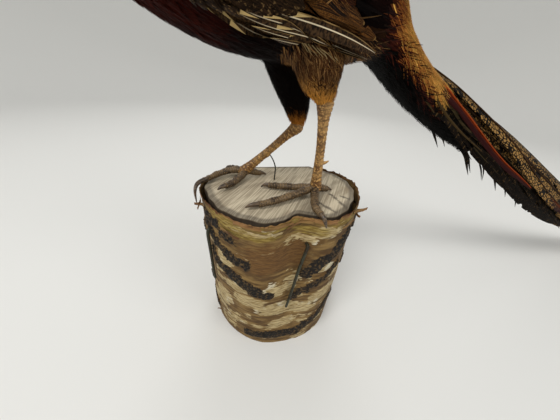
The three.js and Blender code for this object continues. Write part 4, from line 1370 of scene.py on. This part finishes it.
def wing(side):
    """Primaries below, secondaries over them, tertials on top, coverts in front and scapulars above."""
    word = SIDE_NAME[side]
    primaries = row_of(PRIMARY_LINES, PRIMARIES, 6.6, 0.6, 0.32, 0.5)
    tones = np.ones((PRIMARIES, 4))
    tones[:, 2] = (np.arange(PRIMARIES) * 0.37) % 1
    fan(f"primary_feathers_{word}", side, primaries, FINISHES["flight_feather"],
        [f"primaries_{word}"], shape=pointed, tone=tones, rows=26, columns=10)
    secondaries = row_of(SECONDARY_LINES, SECONDARIES, 7.5, 2.4, 0.26, 1.0)
    warm = smoothstep(7.5, 4.0, np.arange(SECONDARIES))[:, None] * rng.uniform(0.85, 1.3, (SECONDARIES, 1))
    tones = np.array([1.0, 0.95, 0.9, 1]) * warm + np.array([0.42, 0.24, 0.2, 1]) * (1 - warm)
    fan(f"secondary_feathers_{word}", side, secondaries, FINISHES["secondary_feather"],
        [f"wing_{word}"], tone=tones, rows=24, columns=8, shape=pointed)
    fan(f"tertial_feathers_{word}", side, row_of(TERTIAL_LINES, 6, 10, 4.8, 0.3, 1.5),
        FINISHES["tertial_feather"], rows=14)
    mesh = merged_copy([f"wing_{word}"])
    roots = shell_spots(mesh, 0.085)
    lower = np.interp(roots[:, 1], [-94, -60, -40, -10], [286, 288, 287.5, 289])
    roots = roots[(roots[:, 1] < -22 - (roots[:, 2] - 290) * 0.35) & (roots[:, 2] > lower)
                  & (roots[:, 2] < 326)]

    def way(p):
        return even((0, 1.0, -0.2), p)
    roots = roots[np.argsort(-roots[:, 1])]
    size = smoothstep(-96, -20, roots[:, 1])
    tone = even((1, 1, 1, 1), roots) * (0.35 + 0.65 * smoothstep(-92, -62, roots[:, 1:2]))
    lay(f"covert_feathers_{word}", roots, 9 + 6 * size, 4.5 + 2 * size, "wing_feathers",
        FINISHES["covert_feather"], rows=5, columns=3, shape=scallop, sink=1.0, rise=3.0, spread=0.12,
        cover=WING_COVERS[side], tone=tone, way=way, vary=0.4, unwrap=wing_unwrap)
    roots = shell_spots(mesh, 0.06)
    roots = roots[(roots[:, 2] > 320) & (roots[:, 1] < 14)]
    lay(f"scapular_feathers_{word}", roots, 24, 8, "wing_feathers", FINISHES["scapular_feather"], rows=5,
        columns=3, sink=0.4, rise=3.0, spread=0.14, cover=WING_COVERS[side],
        tone=np.ones((len(roots), 4)), way=way, vary=0.35, unwrap=wing_unwrap)


def flank_tufts():
    """Ragged black feathers under the wing tips and a few pale hairs beside the thighs."""
    tufts, bars = 160, 11
    for side, word in SIDE_NAME.items():
        y = rng.uniform(2, 36, tufts)
        x = MIDLINE + side * rng.uniform(20, 38, tufts)
        roots = np.column_stack([x, y, rng.uniform(268, 274, tufts)])
        hairs(f"flank_tufts_{word}", roots, 18, 1.6, "dark_feathers", sink=0, rise=1.0, loose=0.8,
              spread=0.35, tone=even(BLACK, roots))
        y = np.linspace(-6, 12, bars)
        roots = np.column_stack([np.full(bars, MIDLINE + side * 35), y, 274.5 - y * 0.25])
        hairs(f"flank_bars_{word}", roots, 7, 0.5, "wing_feathers", sink=0.6, rise=2.0, loose=0.4,
              spread=0.12, tone=even(srgb(164, 142, 100), roots), way=lambda p: even((0, 1.0, -0.75), p))


def wings():
    """Both wings, the tufts below them and the green mantle between them."""
    flight_paint()
    secondary_paint()
    covert_paint()
    glossy_paint("tertial_feather", BLUE, srgb(8, 9, 16), 0.84)
    glossy_paint("scapular_feather", srgb(84, 22, 14), srgb(34, 12, 8), 0.9)
    glossy_paint("mantle_feather", srgb(28, 84, 44), srgb(6, 8, 8), 0.80)
    for side in (1, -1):
        wing(side)
    flank_tufts()
    roots = spots_where(lambda p: (np.abs(outward(p)) < 1.05) & (p[:, 1] > -60) & (p[:, 1] < 2)
                        & (p[:, 2] > 340), keep=0.34)
    lay("mantle_feathers", roots[np.argsort(-roots[:, 1])], 19, 14, "golden_feathers",
        FINISHES["mantle_feather"], rows=6, columns=4, shape=scallop, sink=-1.6, rise=1.2,
        spread=0.1, tone=np.ones((len(roots), 4)), vary=0.25)


# ------------------------------------------------------------------ tail
def roof_profile():
    """The cross-section of the tail's roof: arc from the ridge, x, z and slope, at every millimetre."""
    arcs = np.arange(0, 96.0)
    slope = ROOF_STEEPEST * (1 - np.exp(-arcs / ROOF_ROUNDING))
    x = np.concatenate([[0], np.cumsum(np.cos(slope))[:-1]])
    z = -np.concatenate([[0], np.cumsum(np.sin(slope))[:-1]])
    return np.column_stack([arcs, x, z, slope])


ROOF = roof_profile()


def tail_point(y, arc, depth):
    """A place on the tail's roof: along Y, down a side by an arc from the ridge, and in by a depth."""
    scale = along(ROOF_SCALE, y)[..., 0]
    ridge = along(RIDGE, y)[..., 0]
    x, z, slope = (np.interp(np.abs(arc), ROOF[:, 0], ROOF[:, k]) for k in (1, 2, 3))
    side = np.sign(arc)
    return np.stack([MIDLINE + side * (x * scale - depth * np.sin(slope)), y + 0 * x,
                     ridge + z * scale - depth * np.cos(slope)], axis=-1)


def on_tail(y, arc, depth, layer):
    """A place on the tail, kept outside the rump where the feathers leave the body."""
    y = np.asarray(y, float)
    sunk = 5.0 * smoothstep(134, 104, y) + 3.2 * smoothstep(104, 130, y) * smoothstep(250, 170, y)
    spots = tail_point(y, arc, depth + sunk)
    height = 1.1 - 0.35 * layer - 5.0 * smoothstep(118, 104, y)
    for i in np.flatnonzero(spots[..., 1] < 215):
        place, normal, _, _ = BODY.tree.find_nearest(spots[i])
        gap = (Vector(spots[i]) - place).dot(normal)
        if gap < height[i]:
            spots[i] = place + normal * height[i]
    return spots


LAYER_DEPTH = 2.3


def tail_blade(name, side, layer, root, wide, start, end, material, replaces, *, shaft, seed,
               ragged=1.0, steps=190, columns=30, tip_power=6, stem=1.0):
    """One long tail feather: a thin vaulted vane with split edges, and its shaft.

    root and wide are the arcs of its two edges at its root and where it is fully open, and shaft is
    the shaft's place across it."""
    top = layer * LAYER_DEPTH

    def edges(t):
        opening = smoothstep(0, 0.75, t)
        taper = np.sqrt(np.clip(1 - (t / 1.002)**tip_power, 0, 1)) + 0.03
        low = root[0] + (wide[0] - root[0]) * opening
        high = root[1] + (wide[1] - root[1]) * opening
        return (low + high) / 2, (high - low) / 2 * taper

    def spread(u, v):
        t = np.sin(v * np.pi / 2)
        y = start + (end - start) * t
        across = np.cos(2 * np.pi * u)
        middle, half = edges(t)
        split = np.maximum(0, speckle(np.column_stack([y * 0.2, np.full(len(y), seed), across > 0]), 5))**3
        across = across * (1 - ragged * (0.04 + 0.34 * split) * np.abs(across)**4)
        return y, across, side * (middle + half * across)

    def place(u, v):
        y, across, arc = spread(u, v)
        ripple = 0.35 * rough(np.column_stack([y * 0.05, across * 2, np.full(len(y), seed)]), 2, 6)
        under = 0.5 - 0.28 * np.sin(2 * np.pi * u)
        return on_tail(y, arc, top - 0.4 * (1 - across**2) + ripple + under, layer)

    def fields(u, v, _spots):
        y, across, arc = spread(u, v)
        return {"across": across / 2 + 0.5, "arc": arc, "run": y, "stem": u * 0}
    vane = sheet(name, place, columns, steps, wrap=True, cap=True, attributes=fields, bake=(0.01, 0.88))
    t = np.sin(np.linspace(0.0, 0.97, 16) * np.pi / 2)
    middle, half = edges(t)
    line = on_tail(start + (end - start) * t, side * (middle + half * (shaft * 2 - 1)), top - 0.5, layer)
    quill = pipe(f"{name}_quill", line, [1.25 * stem, stem, 0.75 * stem, 0.35], 8, 70, bake=(0.9, 0.99),
                 attributes=lambda u, v, s: {"across": u * 0 + 0.5, "arc": u * 0, "run": s[:, 1],
                                             "stem": u * 0 + 1})
    return finish_piece(joined(name, [vane, quill]), material, replaces)


class TailPaint(Paint):
    """A finish for tail feathers, with places in millimetres: arc from the ridge and run along it."""

    def __init__(self, name, roughness=0.6, gloss=0.04):
        super().__init__(name, roughness, Specular_IOR_Level=gloss)
        self.arc, self.run, self.across = (self.value(name) for name in ("arc", "run", "across"))
        flat = self.node("ShaderNodeCombineXYZ")
        self.put(flat.inputs[0], self.arc)
        self.put(flat.inputs[1], self.run)
        self.flat = flat.outputs[0]
        self.barbs = self.noise(1.0, 2.0, self.scaled(self.flat, 0.12, 1.6, 1))

    def net(self):
        """Black, crowded with buff spots that leave a black net between them, the buff painted paler down
        the steep sides as painted light.
        """
        bent = self.mix(1.0, self.flat, self.wander(0.22, 2.6), "ADD")
        gap = self.cell_edges(self.scaled(bent, 0.30, 0.235, 1, (0, 0, math.radians(24))))
        blotch = self.noise(1.0, 3.0, self.scaled(self.flat, 0.07, 0.03, 1))
        buff = self.two_tone(self.barbs, srgb(92, 70, 40), srgb(128, 102, 64))
        buff = self.two_tone(blotch, buff, srgb(72, 50, 28), 0.5, 0.7)
        # Painted light: the buff grows paler away from the ridge, down the roof's steep sides that lie in
        # shade
        side = self.between(7, 22, self.math("ABSOLUTE", self.arc))
        buff = self.mix(side, buff, srgb(150, 114, 64))
        width = self.plus(0.11, self.times(self.between(0.42, 0.7, blotch), 0.16))
        mark = self.math("DIVIDE", gap, width)
        return self.two_tone(mark, srgb(13, 9, 6), buff, 0.75, 1.2)

    def wander(self, scale, size):
        """A random push in the plane of the vane, of up to about the given size."""
        made = self.node("ShaderNodeTexNoise")
        self.put(made.inputs["Vector"], self.flat)
        made.inputs["Scale"].default_value = scale
        return self.scaled(made.outputs["Color"], size, size, 0)

    def scarlet(self):
        """A rusty red band along the shaft, streaked with maroon, between dark maroon webs."""
        near = self.minus(self.across, 0.2)
        streak = self.noise(1.0, 4.0, self.scaled(self.flat, 1.1, 0.06, 1))
        red = self.two_tone(self.barbs, srgb(92, 27, 10), srgb(138, 52, 19))
        red = self.mix(self.times(self.between(0.46, 0.62, streak), 0.65), red, srgb(52, 16, 9))
        colour = self.two_tone(near, red, srgb(42, 12, 11), 0.03, 0.3)
        return self.two_tone(near, colour, srgb(34, 12, 8), -0.04, -0.14)

    def finish(self, colour, quill):
        """The finished material, with the shaft in a colour of its own."""
        return self.done(self.mix(self.value("stem"), colour, quill), self.barbs, *VANE_BUMP)


def net_paint():
    paint = TailPaint("centre_tail_feather")
    return paint.finish(paint.net(), srgb(52, 36, 22))


def side_tail_paint():
    """The side feathers: near black with thin buff marks that slant out from the shaft."""
    paint = TailPaint("side_tail_feather")
    slant = paint.scaled(paint.flat, 0.16, 0.5, 1, (0, 0, math.radians(32)))
    spots = paint.noise(1.0, 2.0, slant, 0.8)
    dark = paint.two_tone(paint.barbs, srgb(9, 7, 5), srgb(28, 19, 12))
    colour = paint.two_tone(spots, dark, srgb(96, 74, 44), 0.6, 0.68)
    return paint.finish(colour, srgb(70, 58, 36))


def scarlet_paint():
    paint = TailPaint("scarlet_feather", 0.55, 0.03)
    return paint.finish(paint.scarlet(), srgb(146, 62, 24))


def long_spear_paint():
    """The long spears are netted like the centre feathers and turn scarlet towards the tip."""
    paint = TailPaint("long_spear_feather", 0.55, 0.03)
    tip = paint.between(318, 372, paint.run)
    return paint.finish(paint.mix(tip, paint.net(), paint.scarlet()), srgb(58, 38, 22))


# Pale shafts that show between the black feathers at the tail's root: rows of (y, arc)
PALE_SHAFTS = [[(88, 32), (94, 36), (104, 41), (118, 47)],
               [(106, 33), (120, 38), (134, 43), (156, 47), (188, 49)]]
# Narrow feather tips that stand out from under the tail's lower edge: y of the root, length, drop, width
STRAY_TIPS = [(120, 62, 15, 2.6), (130, 44, 9, 1.6), (190, 70, 17, 3.0), (204, 56, 12, 2.0),
              (244, 44, 9, 1.4), (256, 34, 9, 1.2), (284, 46, 8, 1.8), (352, 52, 10, 2.0),
              (150, 40, 7, 1.6), (320, 40, 6, 1.6)]


def tail_details(dark):
    """Pale shafts over the tail's root and stray tips along its lower edge, on both sides."""
    paint = Paint("pale_shaft", 0.7, Specular_IOR_Level=0.05)
    grain = paint.noise(1.0, 3.0, paint.scaled(paint.place, 500, 60, 500))
    pale = paint.done(paint.mix(grain, srgb(30, 23, 12), srgb(78, 60, 32)), grain, *VANE_BUMP)
    share = np.linspace(0, 1, 5)

    def fields(u, _, spots):
        return {"across": u * 0 + 0.5, "arc": spots[:, 2], "run": spots[:, 1], "stem": u * 0}
    for side, word in SIDE_NAME.items():
        shafts, tips = [], []
        for k, points in enumerate(PALE_SHAFTS):
            y, arc = np.array(points, float).T
            line = on_tail(y, side * arc * (1 if side > 0 else 0.7), np.full(len(y), -0.6), -2)
            shafts.append(pipe(f"shaft_{k}", line, [0.4, 1.0, 0.9, 0.4], 8, 40, up=(1, 0, 0), flatten=0.6,
                               bake=(k / 2 + 0.02, k / 2 + 0.48)))
        finish_piece(joined(f"pale_shafts_{word}", shafts), pale)
        for k, (root, length, drop, width) in enumerate(STRAY_TIPS):
            y = root + length * share
            edge = np.interp(y, [110, 190, 300, 420], [44, 50, 52, 50])
            arc = edge + np.interp(share, [0, 0.5, 1], [-9, -2, drop * 0.8])
            line = on_tail(y, side * arc, np.interp(share, [0, 0.6, 1], [7.5, 5, 2.5]), 0)
            tips.append(pipe(f"tip_{k}", line, [width * 0.5, width * 0.8, 0.2], 8, 24, up=(1, 0, 0),
                             flatten=0.22, bake=(k / 10 + 0.01, k / 10 + 0.09), attributes=fields))
        finish_piece(joined(f"stray_tips_{word}", tips), dark)


# Tail feathers of one side: layer, arcs of the edges at the root and where open, y of root and tip
SIDE_FEATHERS = [(1, (10, 24), (15, 42), 108, 640), (2, (16, 28), (25, 49), 106, 585),
                 (3, (20, 33), (30, 54), 98, 520), (4, (24, 36), (33, 51), 96, 410)]


def tail():
    """Two central feathers, four side feathers and two spear-shaped coverts on each side, and strays."""
    net, dark, scarlet, long_spear = net_paint(), side_tail_paint(), scarlet_paint(), long_spear_paint()
    tail_blade("tail_feather_centre_left", 1, 0, (-7, 16), (-8, 30), 106, 704, net,
               ["tail_centre_left"], shaft=0.28, seed=1)
    tail_blade("tail_feather_centre_right", 1, 1, (-16, 7), (-30, 6), 106, 690, net,
               ["tail_centre_right"], shaft=0.72, seed=2)
    spears = [((3, 15), (34, 50), 108, 420, long_spear), ((20, 30), (43, 53), 104, 280, scarlet)]
    for side, word in SIDE_NAME.items():
        deeper = 0 if side > 0 else 1
        for k, (layer, root, wide, start, end) in enumerate(SIDE_FEATHERS):
            tail_blade(f"tail_feather_{word}_{k + 1}", side, layer + deeper, root, wide, start, end,
                       net if k <= 1 else dark, [f"tail_{word}_{k + 1}"],
                       shaft=0.45, seed=10 * k + side, ragged=1.3)
        for k, (root, wide, start, end, finish) in enumerate(spears):
            wide = np.array(wide) * (1 if side > 0 or k == 0 else 0.72)
            tail_blade(f"spear_feather_{word}_{k + 1}", side, -1, root, wide, start, end,
                       finish, [f"spear_{word}_{k + 1}"], shaft=0.2, seed=40 + k + side, steps=110,
                       columns=20, tip_power=2.2, stem=0.5)
    tail_details(dark)


# ------------------------------------------------------------------ bill, eyes and legs
# Rows of the bill: y, lowest z, highest z and half width
UPPER_BILL = [(-149, 450.6, 458.4, 5.4), (-158, 449.8, 457.2, 4.9), (-166, 448.4, 454.6, 3.8),
              (-172, 445.8, 451.2, 2.4), (-175.5, 443.6, 446.8, 0.9)]
LOWER_BILL = [(-149, 445.2, 450.1, 4.6), (-158, 444.9, 449.3, 4.1), (-166, 444.8, 447.9, 2.9),
              (-170, 444.9, 446.3, 1.4)]


def horn_paint(name, pale, dark):
    """Smooth horn with a fine lengthwise grain."""
    paint = Paint(name, 0.38, Specular_IOR_Level=0.5)
    grain = paint.noise(1.0, 3.0, paint.scaled(paint.place, 700, 90, 700))
    return paint.done(paint.two_tone(grain, dark, pale, 0.3, 0.7), grain, 0.0002, 0.4)


NOSTRIL = dict(y=-154.0, z=453.6, depth=0.9, long=2.2, high=1.2)


def bill_half(name, rows, node, ridged):
    """One half of the bill, an oval tube.

    ridged is 1 for the upper half, which has a ridge on top and the nostrils, and -1 for the lower
    half, which is flatter on top and narrower below."""
    table = [(-y, *sizes) for y, *sizes in rows]
    first, last = table[0][0], table[-1][0]

    def place(u, v):
        y = first + (last - first) * v
        low, high, half = along(table, y).T
        angle = 2 * np.pi * u
        lift = np.sin(angle)
        ridge = 1 + ridged * 0.16 * np.clip(lift, 0, 1)**6
        x = half * np.cos(angle) * (1 - 0.12 * np.clip(lift * ridged, 0, 1))
        z = (low + high) / 2 + (high - low) / 2 * np.sign(lift) * np.abs(lift)**0.8 * ridge
        away = ((y + NOSTRIL["y"]) / NOSTRIL["long"])**2 + ((z - NOSTRIL["z"]) / NOSTRIL["high"])**2
        x = x - np.sign(x) * NOSTRIL["depth"] * np.exp(-away) * (ridged > 0)
        return np.column_stack([MIDLINE + x, -y, z])
    obj = sheet(name, place, 28, 26, wrap=True, cap=True)
    return finish_piece(obj, FINISHES["bill_horn"], [node])


# Where the edges of the pupil and of the iris fade, in metres from the eye's axis
PUPIL_EDGE, IRIS_EDGE = (0.0022, 0.0020), (0.0036, 0.0039)


def eye_paint():
    """A glass eye: black pupil, yellow iris and a dark rim, by the distance from its axis."""
    paint = Paint("glass_eye", 0.05, Coat_Weight=1.0, Coat_Roughness=0.03)
    parts = paint.node("ShaderNodeSeparateXYZ")
    paint.put(parts.inputs[0], paint.place)
    y = paint.minus(parts.outputs[1], EYE["y"] * MM)
    z = paint.minus(parts.outputs[2], EYE["z"] * MM)
    far = paint.math("SQRT", paint.plus(paint.times(y, y), paint.times(z, z)))
    fibre = paint.noise(900, 3)
    iris = paint.two_tone(fibre, srgb(176, 132, 44), srgb(222, 188, 92), 0.3, 0.7)
    colour = paint.two_tone(far, iris, srgb(6, 6, 7), *PUPIL_EDGE)
    return paint.done(paint.two_tone(far, colour, srgb(14, 11, 9), *IRIS_EDGE))


def eyes():
    """Glass eyes, each in a wrinkled ring of bare skin."""
    glass = eye_paint()
    lid_paint = Paint("eye_skin", 0.7)
    wrinkle = lid_paint.noise(900, 3)
    ochre = lid_paint.two_tone(wrinkle, srgb(150, 112, 58), srgb(206, 168, 92), 0.3, 0.7)
    lid_skin = lid_paint.done(ochre, wrinkle, 0.0004, 0.9)
    for side, word in SIDE_NAME.items():
        bm = bmesh.new()
        bmesh.ops.create_uvsphere(bm, u_segments=40, v_segments=24, radius=EYE["radius"] * MM)
        centre = Vector((MIDLINE + side * EYE["out"], EYE["y"], EYE["z"])) * MM
        bmesh.ops.rotate(bm, verts=bm.verts, matrix=Matrix.Rotation(math.pi / 2, 3, "Y"))
        bmesh.ops.translate(bm, verts=bm.verts, vec=centre)
        mesh = bpy.data.meshes.new("eye")
        bm.to_mesh(mesh)
        bm.free()
        finish_piece(new_object(f"eye_glass_{word}", mesh), glass, [f"eye_{word}"])

        def lid(u, v):
            angle = 2 * np.pi * u
            bow = v * np.pi
            ring = 3.5 + 0.75 * (1 - np.cos(bow)) + 0.18 * np.sin(9 * angle) * np.sin(bow)
            out = EYE["out"] + 4.0 - 2.9 * v + 0.6 * np.sin(bow) + 0.12 * np.sin(17 * angle)
            return np.column_stack([MIDLINE + side * out, EYE["y"] + ring * 1.14 * np.cos(angle),
                                    EYE["z"] + ring * 0.86 * np.sin(angle)])
        obj = sheet(f"eye_ring_{word}", lid, 48, 10, wrap=True, thickness=0.4)
        finish_piece(obj, lid_skin)


# Each leg: hock, ankle joint, and the lines of each toe and its claw
LEGS = {
    1: dict(hock=(31, 21, 245), joint=(31, 25, 178), toes={
        "middle": ([(30, 26, 179), (37, 8, 176.5), (44, -11, 175), (48.5, -28, 174)],
                   [(49, -33, 174), (49, -38, 172)]),
        "inner": ([(30, 25, 178.5), (24, 10, 175.5), (18, -6, 174.2), (15.5, -15, 174)],
                  [(15, -18, 174), (15, -22, 172.2)]),
        "outer": ([(31, 25, 178.5), (44, 20, 176), (57, 16.5, 174.8), (66, 18, 173.6)],
                  [(70.5, 19.5, 171.5), (72.5, 21.5, 165)]),
        "hind": ([(31, 26, 179), (28.5, 33, 176), (27, 38, 174.4)], [(26.6, 40, 174), (26.2, 44, 172.2)])}),
    -1: dict(hock=(-9, 13.5, 221), joint=(-9, -36, 178), toes={
        "middle": ([(-9, -34, 179), (-12, -47, 178), (-10, -60, 175.5), (-1, -70, 174.3)],
                   [(6, -78, 173), (12, -80.5, 168), (14, -80.5, 157)]),
        "inner": ([(-9, -34, 178.5), (0, -40, 175.8), (9, -47, 174.4), (15, -54, 174)],
                  [(17, -57, 174), (19, -60.5, 172.2)]),
        "outer": ([(-9, -34, 178.5), (-18, -40, 176), (-25, -46, 174.6), (-28, -50, 174)],
                  [(-29, -52, 174), (-30, -55, 172.2)]),
        "hind": ([(-9, -34, 179), (-10.5, -25, 176), (-11.5, -19, 174.4)],
                 [(-12, -17, 174), (-12.5, -13, 172.2)])}),
}


# Scales: length of each plate and how far it stands out; radii from root to tip
SHANK_PITCH, TOE_PITCH, SCALE_DEPTH = 3.4, 2.3, 0.6
SHANK_RADII, SPUR_RADII = [4.4, 5.5, 3.7, 3.15, 3.7, 4.7, 3.6], [2.0, 1.3, 0.35]
TOE_RADII, CLAW_RADII, TOE_LIFT = [3.7, 3.4, 3.15, 2.7], [2.1, 1.6, 0.45], (0, 0, 0.35)


def scute(angle, reach, pitch):
    """Plates across the front of a leg or the top of a toe, and small scales round the rest."""
    front = smoothstep(-0.3, 0.6, np.sin(angle))
    plate = np.abs((reach / pitch + 0.14 * np.sin(3 * angle)) % 1 - 0.5) * 2
    ridge = 1 - smoothstep(0.6, 1.0, plate) * (0.4 + 0.6 * front)
    pebble = 0.5 * np.abs(np.sin(angle * 5)) * np.abs(np.sin(reach * np.pi / 1.6)) * (1 - front)
    return SCALE_DEPTH * (ridge - 0.75) + 0.25 * pebble


def scale_paint(name, pale, dark, gaps):
    """Horny scales in blotches of two tones, with dark gaps between them and darker sides."""
    paint = Paint(name, 0.45, Specular_IOR_Level=0.35)
    blot = paint.noise(90, 4)
    fine = paint.noise(700, 3)
    edge = paint.cell_edges(paint.scaled(paint.place, 480, 480, 360))
    flank = paint.value("flank")
    colour = paint.two_tone(blot, dark, pale, 0.36, 0.62)
    colour = paint.mix(paint.times(flank, 0.35), colour, dark)
    colour = paint.two_tone(fine, colour, [c * 1.25 for c in pale[:3]] + [1], 0.5, 0.62)
    seam = paint.times(paint.between(0.13, 0.04, edge), paint.times(flank, 0.6))
    furrow = paint.times(paint.value("gap"), paint.between(0.3, 0.55, fine))
    colour = paint.mix(paint.math("MAXIMUM", seam, furrow), colour, gaps)
    return paint.done(colour, edge, 0.0006, 0.6)


def scale_fields(length, pitch):
    """Where the gaps between plates and the small side scales lie on a tube of the given length."""
    def fields(u, v, _spots):
        angle = 2 * np.pi * u
        plate = np.abs((v * length / pitch + 0.14 * np.sin(3 * angle)) % 1 - 0.5) * 2
        return {"gap": smoothstep(0.7, 0.95, plate), "flank": 1 - smoothstep(-0.3, 0.6, np.sin(angle))}
    return fields


def leg(side):
    """A scaled shank with its spur, four scaled toes and their claws."""
    parts, word = LEGS[side], SIDE_NAME[side]
    hock, joint = np.array(parts["hock"], float), np.array(parts["joint"], float)
    down = joint - hock
    points = [hock + (0, -0.6, 4.5), hock, hock + down * 0.18 + (0, 0.2, 0), hock + down * 0.5 + (0, 0.6, 0),
              hock + down * 0.82 + (0, 0.2, 0), joint, joint + (0, 0.4, -3.2)]
    shank = pipe("shank", points, SHANK_RADII, 32, 150, dent=lambda a, v, r: scute(a, r, SHANK_PITCH),
                 up=(0, 1, 0.2), flatten=1.12,
                 attributes=scale_fields(np.linalg.norm(down) + 7.8, SHANK_PITCH))
    start = hock + down * 0.66
    spur = pipe("spur", [start + (0, 2.0, 0), start + (0, 6.0, 0.6), start + (0, 9.2, 2.2)], SPUR_RADII,
                12, 10, attributes=scale_fields(10, 20))
    finish_piece(joined(f"shank_{word}_scaled", [shank, spur]), FINISHES["leg_scales"],
                 [f"shank_{word}"])
    toes, claws = [], []
    for key, (toe, claw) in parts["toes"].items():
        line, knuckles = np.array(toe, float) + TOE_LIFT, 2 if key == "hind" else 4

        def dent(angle, v, reach):
            pad = 0.55 * np.abs(np.sin(np.pi * knuckles * v)) * smoothstep(0.2, -0.6, np.sin(angle))
            knob = 0.315 * np.cos(2 * np.pi * knuckles * v)
            return scute(angle, reach, TOE_PITCH) + pad - 0.35 + knob
        length = np.linalg.norm(np.diff(line, axis=0), axis=1).sum()
        toes.append(pipe(f"toe_{key}", line, TOE_RADII, 24, 90, dent=dent, flatten=0.98,
                         attributes=scale_fields(length, TOE_PITCH)))
        hook = [line[-1] - (line[-1] - line[-2]) * 0.08, *(np.array(claw, float) + TOE_LIFT)]
        claws.append(pipe(f"claw_{key}", hook, CLAW_RADII, 14, 22, flatten=1.15))
    finish_piece(joined(f"foot_{word}_scaled", toes), FINISHES["toe_scales"], [f"foot_{word}"])
    finish_piece(joined(f"claws_{word}", claws), FINISHES["claw_horn"])


skin()
body_coat()
rump_coat()
crest()
cape()
wings()
tail()
horn_paint("bill_horn", srgb(204, 176, 108), srgb(150, 116, 62))
horn_paint("claw_horn", srgb(104, 84, 62), srgb(44, 34, 26))
bill_half("bill_upper_horn", UPPER_BILL, "bill_upper", 1)
bill_half("bill_lower_horn", LOWER_BILL, "bill_lower", -1)
eyes()
scale_paint("leg_scales", srgb(186, 144, 84), srgb(120, 80, 38), srgb(48, 29, 15))
scale_paint("toe_scales", srgb(118, 95, 64), srgb(56, 41, 26), srgb(18, 12, 8))
leg(1)
leg(-1)
